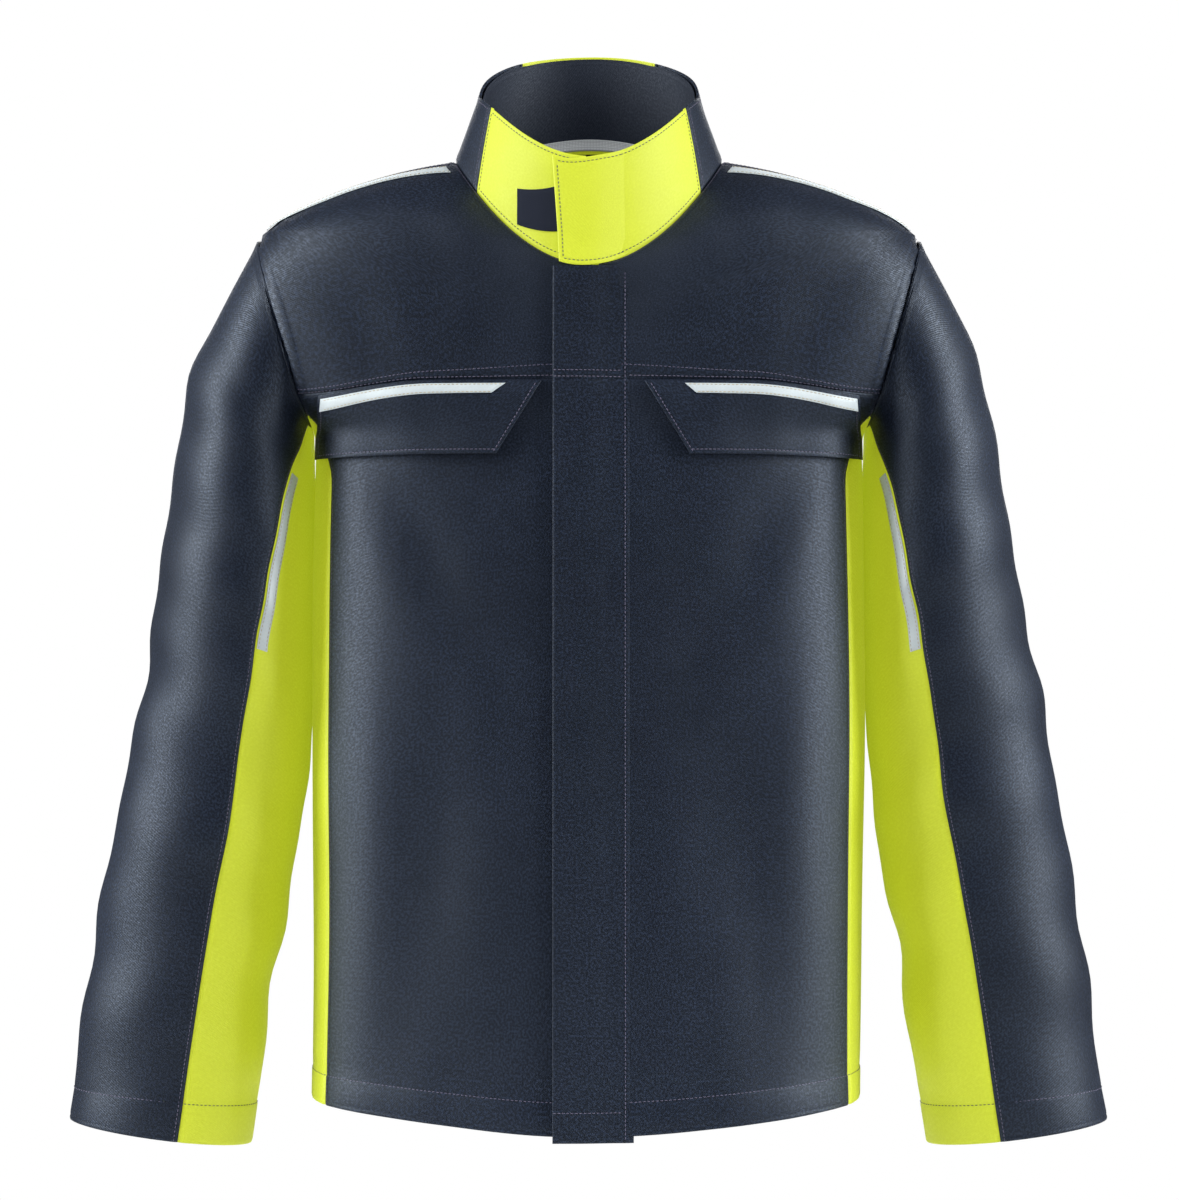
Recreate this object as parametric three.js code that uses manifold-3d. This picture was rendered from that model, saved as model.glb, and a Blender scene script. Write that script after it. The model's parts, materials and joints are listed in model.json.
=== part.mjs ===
// A hip-length protective work coat: panelled shell, stand-up collar, zip under a storm flap,
// chest pocket flaps and two sleeves. Millimetres, +Z up, the wearer faces -Y, the wearer's left is +X.
// The origin is the centre of the neckline.
import * as THREE from "three";
import { mergeVertices } from "three/addons/utils/BufferGeometryUtils.js";
import Module from "manifold-3d";

const wasm = await Module();
wasm.setup();

// ---- Driving dimensions -------------------------------------------------------------------
const chestHalfWidth = 204; // half width of the body below the arms
const frontReach = 100; // the front line's distance before the origin, at the neckline
const frontLean = 0.0479; // how far the front line comes forward for each millimetre down
const backReach = 112; // the back's distance behind the origin
const hemZ = -683; // lowest point of the body, at the front line
const hemSideRise = 15; // the side seams end this much higher
const hemBackRise = 11;
const shoulderOverhang = 42; // the shoulder tip stands this far outside the armpit
const armpitX = chestHalfWidth;
const armpitZ = -180;
const shoulderTipX = armpitX + shoulderOverhang; // where the shoulder meets the sleeve
const shoulderTipZ = -36;
const neckHalfWidth = 100;
const neckFrontZ = -57;
const neckSideZ = 28;
const neckBackZ = 45;
const neckFrontReach = 98;
const neckBackReach = 72;
const collarHeight = 80; // at the front
const collarSideHeight = 48;
const collarBackHeight = 75;
const collarTopHalfWidth = 82;
const cuffX = shoulderTipX + 72; // centre of the cuff
const cuffZ = -693;
const cuffHalfWidth = 67;
const cuffHalfDepth = 48;
const cuffForward = 25; // how far the cuff hangs before the shoulder tip

const cloth = 2; // wall of a made-up panel: outer cloth with its lining
const seamGap = 0.4; // clearance between neighbouring pieces
const innerLift = 2.6; // what lies inside a curved wall stays this far from it
const trim = 0.8; // reflective tape and touch-fastener strips
const flapCloth = 1.5; // a turned flap's wall
const flapLift = 2.7; // a flap's inner face above the panel under it

const sideSeamY = 55; // the side panels reach this far to front and back
const yokeFrontZ = -141;
const yokeBackZ = -150;
const shoulderSeamY = -20;
const frontEdgeX = 7; // the front panels stop here, each side of the zip
const flapFreeX = -26; // storm flap, from its free edge ...
const flapHingeX = 26; // ... to the line where it is sewn on
const flapOverhang = 4; // it ends this much below the hem

const pocketInnerTopX = 38;
const pocketInnerBottomX = 70;
const pocketOuterX = 196;
const pocketLift = 3.4; // the pocket flaps stand this far off the chest
const pocketFlapDrop = 53;
const chestTapeInnerX = 65;
const chestTapeHeight = 7;
const pocketBagDepth = 180;

const tapeWidth = 11; // of each zip tape
const toothOut = 2.3; // the tooth row, from the front line ...
const toothIn = 0.8;
const sliderLength = 13;
const pullLength = 26;

const sleeveSeam = THREE.MathUtils.degToRad(105);
const sleeveSeamAtArmhole = THREE.MathUtils.degToRad(169);

const colours = {
  navy: 0x2c3342,
  yellow: 0xcfe32e,
  reflective: 0xc6ced2,
  lining: 0x23293a,
  touch: 0x1d2433,
  webbing: 0x9ea3a8,
  label: 0xe8e8e4,
  zip: 0x20242c,
  metal: 0x8b8f94,
};
const roughness = { metal: 0.35, reflective: 0.5 };

// ---- Small helpers ------------------------------------------------------------------------
const v3 = (x, y, z) => new THREE.Vector3(x, y, z);
const lerp = THREE.MathUtils.lerp;

// A smooth function through (knots, values) that never overshoots them.
function smoothThrough(knots, values) {
  const slope = knots.slice(1).map((k, i) => (values[i + 1] - values[i]) / (k - knots[i]));
  const tangent = knots.map((_, i) => {
    const before = slope[Math.max(0, i - 1)];
    const after = slope[Math.min(slope.length - 1, i)];
    return before * after <= 0 ? 0 : (2 * before * after) / (before + after);
  });
  return (t) => {
    let i = 0;
    while (i < knots.length - 2 && t > knots[i + 1]) i += 1;
    const span = knots[i + 1] - knots[i];
    const s = THREE.MathUtils.clamp((t - knots[i]) / span, 0, 1);
    const rise = values[i + 1] - values[i];
    const a = tangent[i] * span - rise;
    const b = rise - tangent[i + 1] * span;
    return values[i] + s * rise + s * (1 - s) * (a * (1 - s) + b * s);
  };
}

// ---- The body's outside surface -----------------------------------------------------------
// Each loop round the body: half width, front and back reach, heights at side, front and back,
// the fullness of its corners, and how it rises to the back: 2 is round, less is flatter behind.
const frontAt = (z) => frontReach + (neckFrontZ - z) * frontLean;
const armSpan = shoulderTipZ - armpitZ;
const bodyLoop = (halfWidth, back, sideZ, frontZ, backZ, fullness) => ({
  halfWidth,
  front: frontAt(frontZ),
  back,
  sideZ,
  frontZ,
  backZ,
  fullness,
  backPower: 2,
});
const waistZ = (hemZ + armpitZ) / 2;
const lowArmZ = armpitZ - 45;
const shoulderRun = shoulderTipX - neckHalfWidth;
const ridgeRise = neckSideZ - shoulderTipZ;
function shoulderLoop(inward, rise, frontUp, backUp, back, fullness) {
  return bodyLoop(
    shoulderTipX + 5 - inward * (shoulderRun + 5),
    lerp(backReach, neckBackReach, back),
    shoulderTipZ + rise * ridgeRise,
    lerp(yokeFrontZ, neckFrontZ, frontUp),
    lerp(armpitZ, neckBackZ, backUp),
    fullness,
  );
}
const bodyLoops = [
  bodyLoop(chestHalfWidth, backReach, hemZ + hemSideRise, hemZ, hemZ + hemBackRise, 2.6),
  bodyLoop(chestHalfWidth, backReach, waistZ, waistZ, waistZ, 2.6),
  bodyLoop(chestHalfWidth - 1, backReach, lowArmZ, lowArmZ, lowArmZ, 2.5),
  bodyLoop(armpitX - 1.5, backReach - 1, armpitZ, armpitZ, armpitZ, 2.5),
  bodyLoop(shoulderTipX + 8, backReach - 2, armpitZ + 0.28 * armSpan, armpitZ + 30, armpitZ + 50, 2.5),
  bodyLoop(shoulderTipX + 29, backReach - 3, armpitZ + 0.56 * armSpan, armpitZ + 55, armpitZ + 95, 2.5),
  bodyLoop(shoulderTipX + 26, backReach - 4, armpitZ + 0.8 * armSpan, armpitZ + 72, armpitZ + 130, 2.45),
  shoulderLoop(0, 0, 0.54, 0.7, 0.15, 2.4),
  shoulderLoop(0.12, 0.27, 0.61, 0.76, 0.2, 2.35),
  shoulderLoop(0.4, 0.62, 0.75, 0.86, 0.35, 2.25),
  shoulderLoop(0.68, 0.84, 0.87, 0.93, 0.55, 2.15),
  shoulderLoop(0.88, 0.95, 0.95, 0.98, 0.78, 2.1),
  {
    halfWidth: neckHalfWidth,
    front: neckFrontReach,
    back: neckBackReach,
    sideZ: neckSideZ,
    frontZ: neckFrontZ,
    backZ: neckBackZ,
    fullness: 2.1,
    backPower: 2,
  },
];

// A stack of loops as a surface point at an angle from the front and a height share 0 to 1.
function loopSurface(loops) {
  const knots = [0];
  for (let i = 1; i < loops.length; i += 1) {
    const dx = loops[i].halfWidth - loops[i - 1].halfWidth;
    const dz = loops[i].sideZ - loops[i - 1].sideZ;
    knots.push(knots[i - 1] + Math.hypot(dx, dz));
  }
  const length = knots[knots.length - 1];
  const shares = knots.map((k) => k / length);
  const at = {};
  for (const key of Object.keys(loops[0])) {
    at[key] = smoothThrough(shares, loops.map((l) => l[key]));
  }
  const point = (angle, v) => {
    const facing = Math.cos(angle);
    const n = at.fullness(v);
    const depth = facing >= 0 ? at.front(v) : at.back(v);
    const width = at.halfWidth(v);
    const sum = Math.abs(Math.sin(angle) / width) ** n + Math.abs(facing / depth) ** n;
    const radius = sum ** (-1 / n);
    const endZ = facing >= 0 ? at.frontZ(v) : at.backZ(v);
    const power = facing >= 0 ? 2 : at.backPower(v);
    const z = lerp(at.sideZ(v), endZ, Math.abs(facing) ** power);
    return v3(radius * Math.sin(angle), -radius * facing, z);
  };
  return { point, shares, normal: normalOf(point) };
}

// The outward normal of a surface given by its point function.
function normalOf(point) {
  const step = 1e-4;
  return (angle, v) => {
    const low = Math.max(0, v - step);
    const high = Math.min(1, v + step);
    const across = point(angle + step, v).sub(point(angle - step, v));
    const up = point(angle, high).sub(point(angle, low));
    return across.cross(up).normalize();
  };
}

const body = loopSurface(bodyLoops);
const armpitShare = body.shares[3];
const tipShare = body.shares[7];

const collarLoops = [
  bodyLoops[bodyLoops.length - 1],
  {
    halfWidth: collarTopHalfWidth,
    front: neckFrontReach - 18,
    back: neckBackReach + 12,
    sideZ: neckSideZ + collarSideHeight,
    frontZ: neckFrontZ + collarHeight,
    backZ: neckBackZ + collarBackHeight,
    fullness: 2.05,
    backPower: 0.8,
  },
];
const collar = loopSurface(collarLoops);

// The angle at which a surface's loop v reaches a sideways place x on its front (or back).
function angleAtX(surface, x, v, fromBack = false) {
  let low = 0;
  let high = Math.PI / 2;
  for (let i = 0; i < 40; i += 1) {
    const middle = (low + high) / 2;
    const angle = fromBack ? Math.PI - middle : middle;
    if (surface.point(angle, v).x < Math.abs(x)) low = middle;
    else high = middle;
  }
  const angle = fromBack ? Math.PI - low : low;
  return x < 0 ? -angle : angle;
}

// The body's angle and height share at a front (or back) place given by x and z.
function bodyPlace(x, z, fromBack = false) {
  let low = 0;
  let high = 1;
  let angle = 0;
  for (let i = 0; i < 40; i += 1) {
    const v = (low + high) / 2;
    angle = angleAtX(body, x, v, fromBack);
    if (body.point(angle, v).z < z) low = v;
    else high = v;
  }
  return [angle, (low + high) / 2];
}

// ---- Making solids ------------------------------------------------------------------------
function solidFrom(positions, indices) {
  const geometry = new THREE.BufferGeometry();
  geometry.setAttribute("position", new THREE.BufferAttribute(new Float32Array(positions), 3));
  geometry.setIndex(indices);
  const merged = mergeVertices(geometry, 1e-3);
  const make = (triVerts) =>
    new wasm.Manifold(
      new wasm.Mesh({ numProp: 3, vertProperties: merged.attributes.position.array, triVerts }),
    );
  const made = make(new Uint32Array(merged.index.array));
  if (made.volume() > 0) return made;
  const turned = new Uint32Array(merged.index.array);
  for (let i = 0; i < turned.length; i += 3) {
    [turned[i + 1], turned[i + 2]] = [turned[i + 2], turned[i + 1]];
  }
  return make(turned);
}

function solidOfGeometry(geometry) {
  const bare = geometry.clone();
  bare.deleteAttribute("normal");
  bare.deleteAttribute("uv");
  const merged = mergeVertices(bare, 1e-4);
  return solidFrom([...merged.attributes.position.array], [...merged.index.array]);
}

// A sheet of cloth as a closed solid: place(p, q) gives its point and normal on a surface.
function sheet(place, columns, rows, outer, inner, closed = false) {
  const across = closed ? columns : columns + 1;
  const positions = [];
  for (const offset of [outer, inner]) {
    for (let j = 0; j <= rows; j += 1) {
      for (let i = 0; i < across; i += 1) {
        const [point, normal] = place(i / columns, j / rows);
        positions.push(...point.clone().addScaledVector(normal, offset).toArray());
      }
    }
  }
  const layer = across * (rows + 1);
  const at = (i, j, k) => k * layer + j * across + (i % across);
  const indices = [];
  const quad = (a, b, c, d) => indices.push(a, b, c, a, c, d);
  for (let j = 0; j < rows; j += 1) {
    for (let i = 0; i < columns; i += 1) {
      // the diagonals of a closed loop mirror each other, left and right
      const k = closed && i < columns / 2 ? 1 : 0;
      const ring = [at(i, j, 0), at(i + 1, j, 0), at(i + 1, j + 1, 0), at(i, j + 1, 0)];
      const back = ring.map((index) => index + layer);
      quad(ring[k], ring[k + 1], ring[k + 2], ring[(k + 3) % 4]);
      quad(back[(k + 3) % 4], back[k + 2], back[k + 1], back[k]);
    }
  }
  for (let i = 0; i < columns; i += 1) {
    quad(at(i, 0, 1), at(i + 1, 0, 1), at(i + 1, 0, 0), at(i, 0, 0));
    quad(at(i, rows, 0), at(i + 1, rows, 0), at(i + 1, rows, 1), at(i, rows, 1));
  }
  if (!closed) {
    for (let j = 0; j < rows; j += 1) {
      quad(at(0, j, 1), at(0, j, 0), at(0, j + 1, 0), at(0, j + 1, 1));
      quad(at(columns, j, 0), at(columns, j, 1), at(columns, j + 1, 1), at(columns, j + 1, 0));
    }
  }
  return solidFrom(positions, indices);
}

const surfacePlace = (surface, route) => (p, q) => {
  const [angle, v] = route(p, q);
  return [surface.point(angle, v), surface.normal(angle, v)];
};

// A solid box from its lowest to its highest corner.
function block(low, high) {
  const size = high.clone().sub(low);
  const geometry = new THREE.BoxGeometry(size.x, size.y, size.z);
  geometry.translate(...low.clone().addScaledVector(size, 0.5).toArray());
  return solidOfGeometry(geometry);
}

// The largest body of a solid, which drops any sliver that a cut leaves.
function mainBody(solid) {
  const bodies = solid.decompose();
  return bodies.sort((a, b) => b.volume() - a.volume())[0];
}

const coat = new THREE.Group();

function addNode(name, solid, colour) {
  const mesh = solid.getMesh();
  const count = mesh.numProp;
  const positions = new Float32Array(mesh.numVert * 3);
  for (let i = 0; i < mesh.numVert; i += 1) {
    positions.set(mesh.vertProperties.subarray(i * count, i * count + 3), i * 3);
  }
  const geometry = new THREE.BufferGeometry();
  geometry.setAttribute("position", new THREE.BufferAttribute(positions, 3));
  geometry.setIndex([...mesh.triVerts]);
  geometry.computeVertexNormals();
  const material = new THREE.MeshStandardMaterial({
    color: colours[colour],
    roughness: roughness[colour] ?? 0.85,
    metalness: colour === "metal" ? 0.9 : 0,
  });
  const node = new THREE.Mesh(geometry, material);
  node.name = name;
  coat.add(node);
}

const sides = [
  ["right", -1],
  ["left", 1],
];

// ---- Armhole ------------------------------------------------------------------------------
const tip = v3(shoulderTipX, 0, shoulderTipZ);
const armpit = v3(armpitX, 0, armpitZ);
const armUp = tip.clone().sub(armpit).normalize();
const armOut = v3(armUp.z, 0, -armUp.x);
const beyondArm = (point) => point.clone().sub(tip).dot(armOut);

// The wide end of each shoulder is cut off along the armhole plane, which opens the armhole.
function armholeCutter(side) {
  const reach = 120;
  const corners = [
    armpit.clone().addScaledVector(armUp, 0),
    armpit.clone().addScaledVector(armUp, reach * 2.5),
    armpit.clone().addScaledVector(armUp, reach * 2.5).addScaledVector(armOut, reach),
    v3(armpit.x + reach * 1.5, 0, armpitZ),
  ];
  const shape = new THREE.Shape(corners.map((c) => new THREE.Vector2(side * c.x, c.z)));
  const depth = 2 * (backReach + frontReach);
  const geometry = new THREE.ExtrudeGeometry(shape, { depth, bevelEnabled: false });
  geometry.translate(0, 0, -depth / 2);
  geometry.rotateX(Math.PI / 2);
  return solidOfGeometry(geometry);
}

// The armhole's radius from its centre by angle, where 0 is the tip and a positive angle turns forward.
const armholeCentre = tip.clone().add(armpit).multiplyScalar(0.5);
function armholeRadius() {
  const steps = 60;
  const edge = [];
  for (let i = 0; i <= steps; i += 1) {
    const v = lerp(armpitShare, tipShare + 0.01, i / steps);
    if (beyondArm(body.point(Math.PI / 2, v)) <= 0) continue;
    for (const fromBack of [false, true]) {
      let low = 0;
      let high = Math.PI / 2;
      for (let k = 0; k < 40; k += 1) {
        const middle = (low + high) / 2;
        const angle = fromBack ? Math.PI - middle : middle;
        if (beyondArm(body.point(angle, v)) < 0) low = middle;
        else high = middle;
      }
      const point = body.point(fromBack ? Math.PI - low : low, v).sub(armholeCentre);
      edge.push([Math.atan2(-point.y, point.dot(armUp)), Math.hypot(point.y, point.dot(armUp))]);
    }
  }
  edge.sort((a, b) => a[0] - b[0]);
  const turn = 2 * Math.PI;
  const first = edge[0];
  const last = edge[edge.length - 1];
  const ring = [[last[0] - turn, last[1]], ...edge, [first[0] + turn, first[1]]];
  return (angle) => {
    const wanted = Math.atan2(Math.sin(angle), Math.cos(angle));
    const k = Math.max(1, ring.findIndex((r) => r[0] >= wanted));
    const share = (wanted - ring[k - 1][0]) / (ring[k][0] - ring[k - 1][0]);
    return lerp(ring[k - 1][1], ring[k][1], share);
  };
}
const armholeEdge = armholeRadius();

// ---- Body shell ---------------------------------------------------------------------------
const loopColumns = 44;
const longRows = 3;
function bodyShell() {
  // rows fall on every loop, with extra rows where the loops are far apart
  const rows = [];
  body.shares.forEach((share, i) => {
    const parts = i > 0 && i <= 2 ? longRows : i <= 5 ? 2 : 1;
    for (let k = 1; i > 0 && k < parts; k += 1) {
      rows.push(lerp(body.shares[i - 1], share, k / parts));
    }
    rows.push(share);
  });
  const place = surfacePlace(body, (p, q) => [
    2 * Math.PI * p + Math.PI / loopColumns,
    rows[Math.round(q * (rows.length - 1))],
  ]);
  let shell = sheet(place, loopColumns, rows.length - 1, 0, -cloth, true);
  for (const [, side] of sides) shell = shell.subtract(armholeCutter(side));
  return shell;
}
const shell = bodyShell();
const far = 900;
const half = seamGap / 2;
const bodyPiece = (low, high) => mainBody(shell.intersect(block(v3(...low), v3(...high))));

addNode(
  "back_panel",
  bodyPiece([-far, sideSeamY + half, -far], [far, far, yokeBackZ - half]),
  "navy",
);
addNode(
  "back_yoke",
  bodyPiece([-far, shoulderSeamY + half, yokeBackZ + half], [far, far, far]),
  "navy",
);
for (const [name, side] of sides) {
  const outward = (low, high) => {
    const near = side > 0 ? low : [-high[0], low[1], low[2]];
    const away = side > 0 ? high : [-low[0], high[1], high[2]];
    return bodyPiece(near, away);
  };
  addNode(
    "front_yoke_" + name,
    outward([frontEdgeX, -far, yokeFrontZ + half], [far, shoulderSeamY - half, far]),
    "navy",
  );
  addNode(
    "front_panel_" + name,
    outward([frontEdgeX, -far, -far], [far, -sideSeamY - half, yokeFrontZ - half]),
    "navy",
  );
  addNode(
    "side_panel_" + name,
    outward([0, -sideSeamY + half, -far], [far, sideSeamY - half, yokeBackZ - half]),
    "yellow",
  );
}

// A piece laid on the front of the body, between two edges given as x by height.
function frontPiece(xA, xB, topZ, bottomZ, outer, inner, columns, rows, fromBack = false) {
  const place = surfacePlace(body, (p, q) => {
    const xAt = (edge) => (typeof edge === "function" ? edge(q) : edge);
    const x = lerp(xAt(xA), xAt(xB), p);
    return bodyPlace(x, lerp(bottomZ, topZ, q), fromBack);
  });
  return sheet(place, columns, rows, outer, inner);
}

// ---- Zip ----------------------------------------------------------------------------------
const zipTopZ = neckFrontZ - 5;
const zipBottomZ = hemZ + 14;
const facingRows = 6;
const frontSlope = Math.atan(frontLean);
const frontDown = v3(0, -Math.sin(frontSlope), -Math.cos(frontSlope));
const frontOut = v3(0, -Math.cos(frontSlope), Math.sin(frontSlope));
const neckFront = v3(0, -frontReach, neckFrontZ);

// A block on the flat front line: across x, outward from the cloth's face, and down from the neckline.
function frontBlock(across, outward, down) {
  const low = v3(across[0], -outward[1], -down[1]);
  const high = v3(across[1], -outward[0], -down[0]);
  const geometry = new THREE.BoxGeometry(high.x - low.x, high.y - low.y, high.z - low.z);
  geometry.translate(...low.add(high).multiplyScalar(0.5).toArray());
  geometry.rotateX(-frontSlope);
  geometry.translate(neckFront.x, neckFront.y, neckFront.z);
  return solidOfGeometry(geometry);
}
const zipTopDown = neckFrontZ - zipTopZ;
const zipBottomDown = (neckFrontZ - zipBottomZ) / Math.cos(frontSlope);
for (const [name, side] of sides) {
  const inner = toothOut + seamGap;
  addNode(
    "zip_tape_" + name,
    frontBlock(
      [Math.min(side * inner, side * (inner + tapeWidth)), Math.max(side * inner, side * (inner + tapeWidth))],
      [-cloth - 1.9, -cloth - 1],
      [zipTopDown, zipBottomDown],
    ),
    "zip",
  );
  addNode(
    "zip_teeth_" + name,
    frontBlock(
      [Math.min(side * toothIn, side * toothOut), Math.max(side * toothIn, side * toothOut)],
      [-cloth - 2.5, -cloth - 0.4],
      [zipTopDown, zipBottomDown],
    ),
    "zip",
  );
  addNode(
    "front_facing_" + name,
    frontPiece(side * 8, side * 58, neckFrontZ - 8, hemZ + 6, -cloth - 3.1, -cloth - 4.1, 2, facingRows),
    "lining",
  );
}
const boxDown = zipBottomDown + seamGap;
addNode("zip_bottom_box", frontBlock([-4, 4], [-cloth - 2.8, -cloth], [boxDown, boxDown + 9]), "metal");

const sliderTop = zipTopDown + 3;
const plate = 1.3;
const sliderHalf = 5;
const sliderBridge = 0.4;
const sliderBack = -cloth - 4.1;
const sliderFace = -cloth + plate - 0.1;
const sliderRun = [sliderTop, sliderTop + sliderLength];
const slider = frontBlock([-sliderHalf, sliderHalf], [sliderFace - plate, sliderFace], sliderRun)
  .add(frontBlock([-sliderHalf, sliderHalf], [sliderBack, sliderBack + plate], sliderRun))
  .add(
    frontBlock(
      [-sliderBridge, sliderBridge],
      [sliderBack + plate / 2, sliderFace - plate / 2],
      [sliderTop, sliderTop + 4],
    ),
  );
addNode("zip_slider", slider, "metal");
addNode(
  "zip_pull",
  frontBlock([-2.8, 2.8], [seamGap, seamGap + 1.2], [sliderTop + 5, sliderTop + 5 + pullLength]),
  "metal",
);

// ---- Storm flap ---------------------------------------------------------------------------
const flapTopZ = neckFrontZ - 1;
const flapBottomZ = hemZ - flapOverhang;
const frontShares = (z) => v3(0, -frontAt(z), z);
function stormPiece(x0, x1, topZ, bottomZ, outer, inner, rows) {
  // the flap is straight, as its cloth lies along the flat front line
  const place = (p, q) => {
    const z = lerp(bottomZ, topZ, q);
    const x = lerp(x0, x1, p);
    const point = frontShares(z);
    const [angle, v] = bodyPlace(x, Math.max(z, hemZ + 1));
    const curve = body.point(angle, v).y - body.point(0, v).y;
    point.x = x;
    point.y += Math.max(0, curve);
    return [point, frontOut];
  };
  return sheet(place, 4, rows, outer, inner);
}
addNode(
  "storm_flap",
  stormPiece(flapFreeX, flapHingeX, flapTopZ, flapBottomZ, flapLift + flapCloth, flapLift, 8),
  "navy",
);
const hookFace = flapLift - 0.6;
const hookCloth = 0.6;
const stripFrom = flapFreeX + 6;
const stripTo = stripFrom + 12;
addNode(
  "storm_flap_hook_strip",
  stormPiece(stripFrom, stripTo, flapTopZ - 60, hemZ + 20, hookFace, hookFace - hookCloth, 6),
  "touch",
);
addNode(
  "storm_flap_loop_strip",
  frontPiece(stripFrom, stripTo, flapTopZ - 60, hemZ + 20, seamGap + hookCloth, seamGap, 2, 4),
  "touch",
);

// ---- Chest pockets ------------------------------------------------------------------------
for (const [name, side] of sides) {
  const flapTop = yokeFrontZ - 1;
  const flapBottom = flapTop - pocketFlapDrop;
  const innerEdge = (q) => side * lerp(pocketInnerBottomX, pocketInnerTopX, q);
  addNode(
    "pocket_flap_" + name,
    frontPiece(
      innerEdge,
      side * pocketOuterX,
      flapTop,
      flapBottom,
      pocketLift + flapCloth,
      pocketLift,
      10,
      4,
    ),
    "navy",
  );
  const tapeEdge = (q) => side * (chestTapeInnerX - chestTapeHeight * 0.6 * q);
  const tapeTop = flapTop - 2;
  const tapeFace = pocketLift + flapCloth + seamGap;
  addNode(
    "chest_reflective_" + name,
    frontPiece(
      tapeEdge,
      side * (pocketOuterX - 2),
      tapeTop,
      tapeTop - chestTapeHeight,
      tapeFace + trim,
      tapeFace,
      10,
      1,
    ),
    "reflective",
  );
  const patchIn = side * 95;
  const patchOut = side * 155;
  const patchTop = flapBottom + 19;
  const patchBottom = flapBottom + 5;
  addNode(
    "pocket_hook_patch_" + name,
    frontPiece(
      patchIn,
      patchOut,
      patchTop,
      patchBottom,
      pocketLift - seamGap,
      pocketLift - seamGap - hookCloth,
      3,
      1,
    ),
    "touch",
  );
  addNode(
    "pocket_loop_patch_" + name,
    frontPiece(patchIn, patchOut, patchTop, patchBottom, 1.2 + hookCloth, 1.2, 3, 1),
    "touch",
  );
  addNode(
    "pocket_bag_" + name,
    frontPiece(
      side * (pocketInnerBottomX + 4),
      side * (pocketOuterX - 44),
      flapTop - 14,
      flapTop - 14 - pocketBagDepth,
      -cloth - innerLift,
      -cloth - innerLift - flapCloth,
      6,
      6,
    ),
    "lining",
  );
}

// ---- Collar -------------------------------------------------------------------------------
const collarRows = 3;
const degrees = THREE.MathUtils.degToRad;
const collarSeamAt = (v) => degrees(lerp(55, 62, v));
const collarBackSeam = degrees(141);
const collarBase = 0.012;
function collarPiece(from, to, low, high, outer, inner, columns) {
  const edge = (e, v) => (typeof e === "function" ? e(v) : e);
  const place = surfacePlace(collar, (p, q) => {
    const v = lerp(low, high, q);
    return [lerp(edge(from, v), edge(to, v), p), v];
  });
  return sheet(place, columns, collarRows, outer, inner);
}
const seamAngle = degrees(0.2);
for (const [name, side] of sides) {
  addNode(
    "collar_front_panel_" + name,
    collarPiece(
      side * degrees(1.5),
      (v) => side * (collarSeamAt(v) - seamAngle),
      collarBase,
      1,
      0,
      -cloth,
      5,
    ),
    "yellow",
  );
  addNode(
    "collar_side_panel_" + name,
    collarPiece(
      (v) => side * (collarSeamAt(v) + seamAngle),
      side * (collarBackSeam - seamAngle),
      collarBase,
      1,
      0,
      -cloth,
      7,
    ),
    "navy",
  );
}
addNode(
  "collar_back_panel",
  collarPiece(collarBackSeam + seamAngle, 2 * Math.PI - collarBackSeam - seamAngle, collarBase, 1, 0, -cloth, 6),
  "yellow",
);
const liningFace = -cloth - 1.3;
addNode(
  "collar_lining",
  collarPiece(degrees(3), degrees(357), collarBase, 0.985, liningFace, liningFace - 1.2, 26),
  "lining",
);
const tapeOver = liningFace - 1.2 - 1.3;
addNode(
  "neck_tape",
  collarPiece(degrees(118), degrees(242), collarBase, 0.11, tapeOver, tapeOver - trim, 8),
  "webbing",
);
const tabFree = (v) => angleAtX(collar, lerp(-21, -27, v), v);
const tabHinge = (v) => angleAtX(collar, flapHingeX, v);
addNode(
  "collar_tab",
  collarPiece(tabFree, tabHinge, 0.06, 0.99, flapLift + cloth, flapLift, 4),
  "yellow",
);
addNode(
  "collar_loop_patch",
  collarPiece(
    (v) => angleAtX(collar, -52, v),
    (v) => angleAtX(collar, -4, v),
    0.24,
    0.64,
    seamGap + hookCloth,
    seamGap,
    4,
  ),
  "touch",
);
addNode(
  "collar_hook_patch",
  collarPiece(
    (v) => angleAtX(collar, -17, v),
    (v) => angleAtX(collar, 10, v),
    0.26,
    0.62,
    hookFace,
    hookFace - hookCloth,
    2,
  ),
  "touch",
);

// The hanging loop: a tape sewn down at both ends, standing away from the lining between them.
const loopHalf = 32;
const loopTape = 1.6;
const loopStand = 8;
const loopHeight = 8;
const loopBottomZ = neckBackZ - 17;
const loopBackY = neckBackReach - cloth - 3;
function hangingLoop() {
  const outer = loopBackY;
  const front = outer - loopStand - loopTape;
  const shape = new THREE.Shape();
  shape.moveTo(-loopHalf, outer);
  shape.lineTo(-loopHalf, front);
  shape.lineTo(loopHalf, front);
  shape.lineTo(loopHalf, outer);
  shape.lineTo(loopHalf - loopTape, outer);
  shape.lineTo(loopHalf - loopTape, front + loopTape);
  shape.lineTo(-loopHalf + loopTape, front + loopTape);
  shape.lineTo(-loopHalf + loopTape, outer);
  shape.closePath();
  const geometry = new THREE.ExtrudeGeometry(shape, { depth: loopHeight, bevelEnabled: false });
  geometry.translate(0, 0, loopBottomZ);
  return solidOfGeometry(geometry);
}
addNode("hanging_loop", hangingLoop(), "webbing");
addNode(
  "care_label",
  frontPiece(-16, 16, neckBackZ - 22, neckBackZ - 52, -cloth - innerLift, -cloth - innerLift - 0.5, 2, 1, true),
  "label",
);

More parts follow.
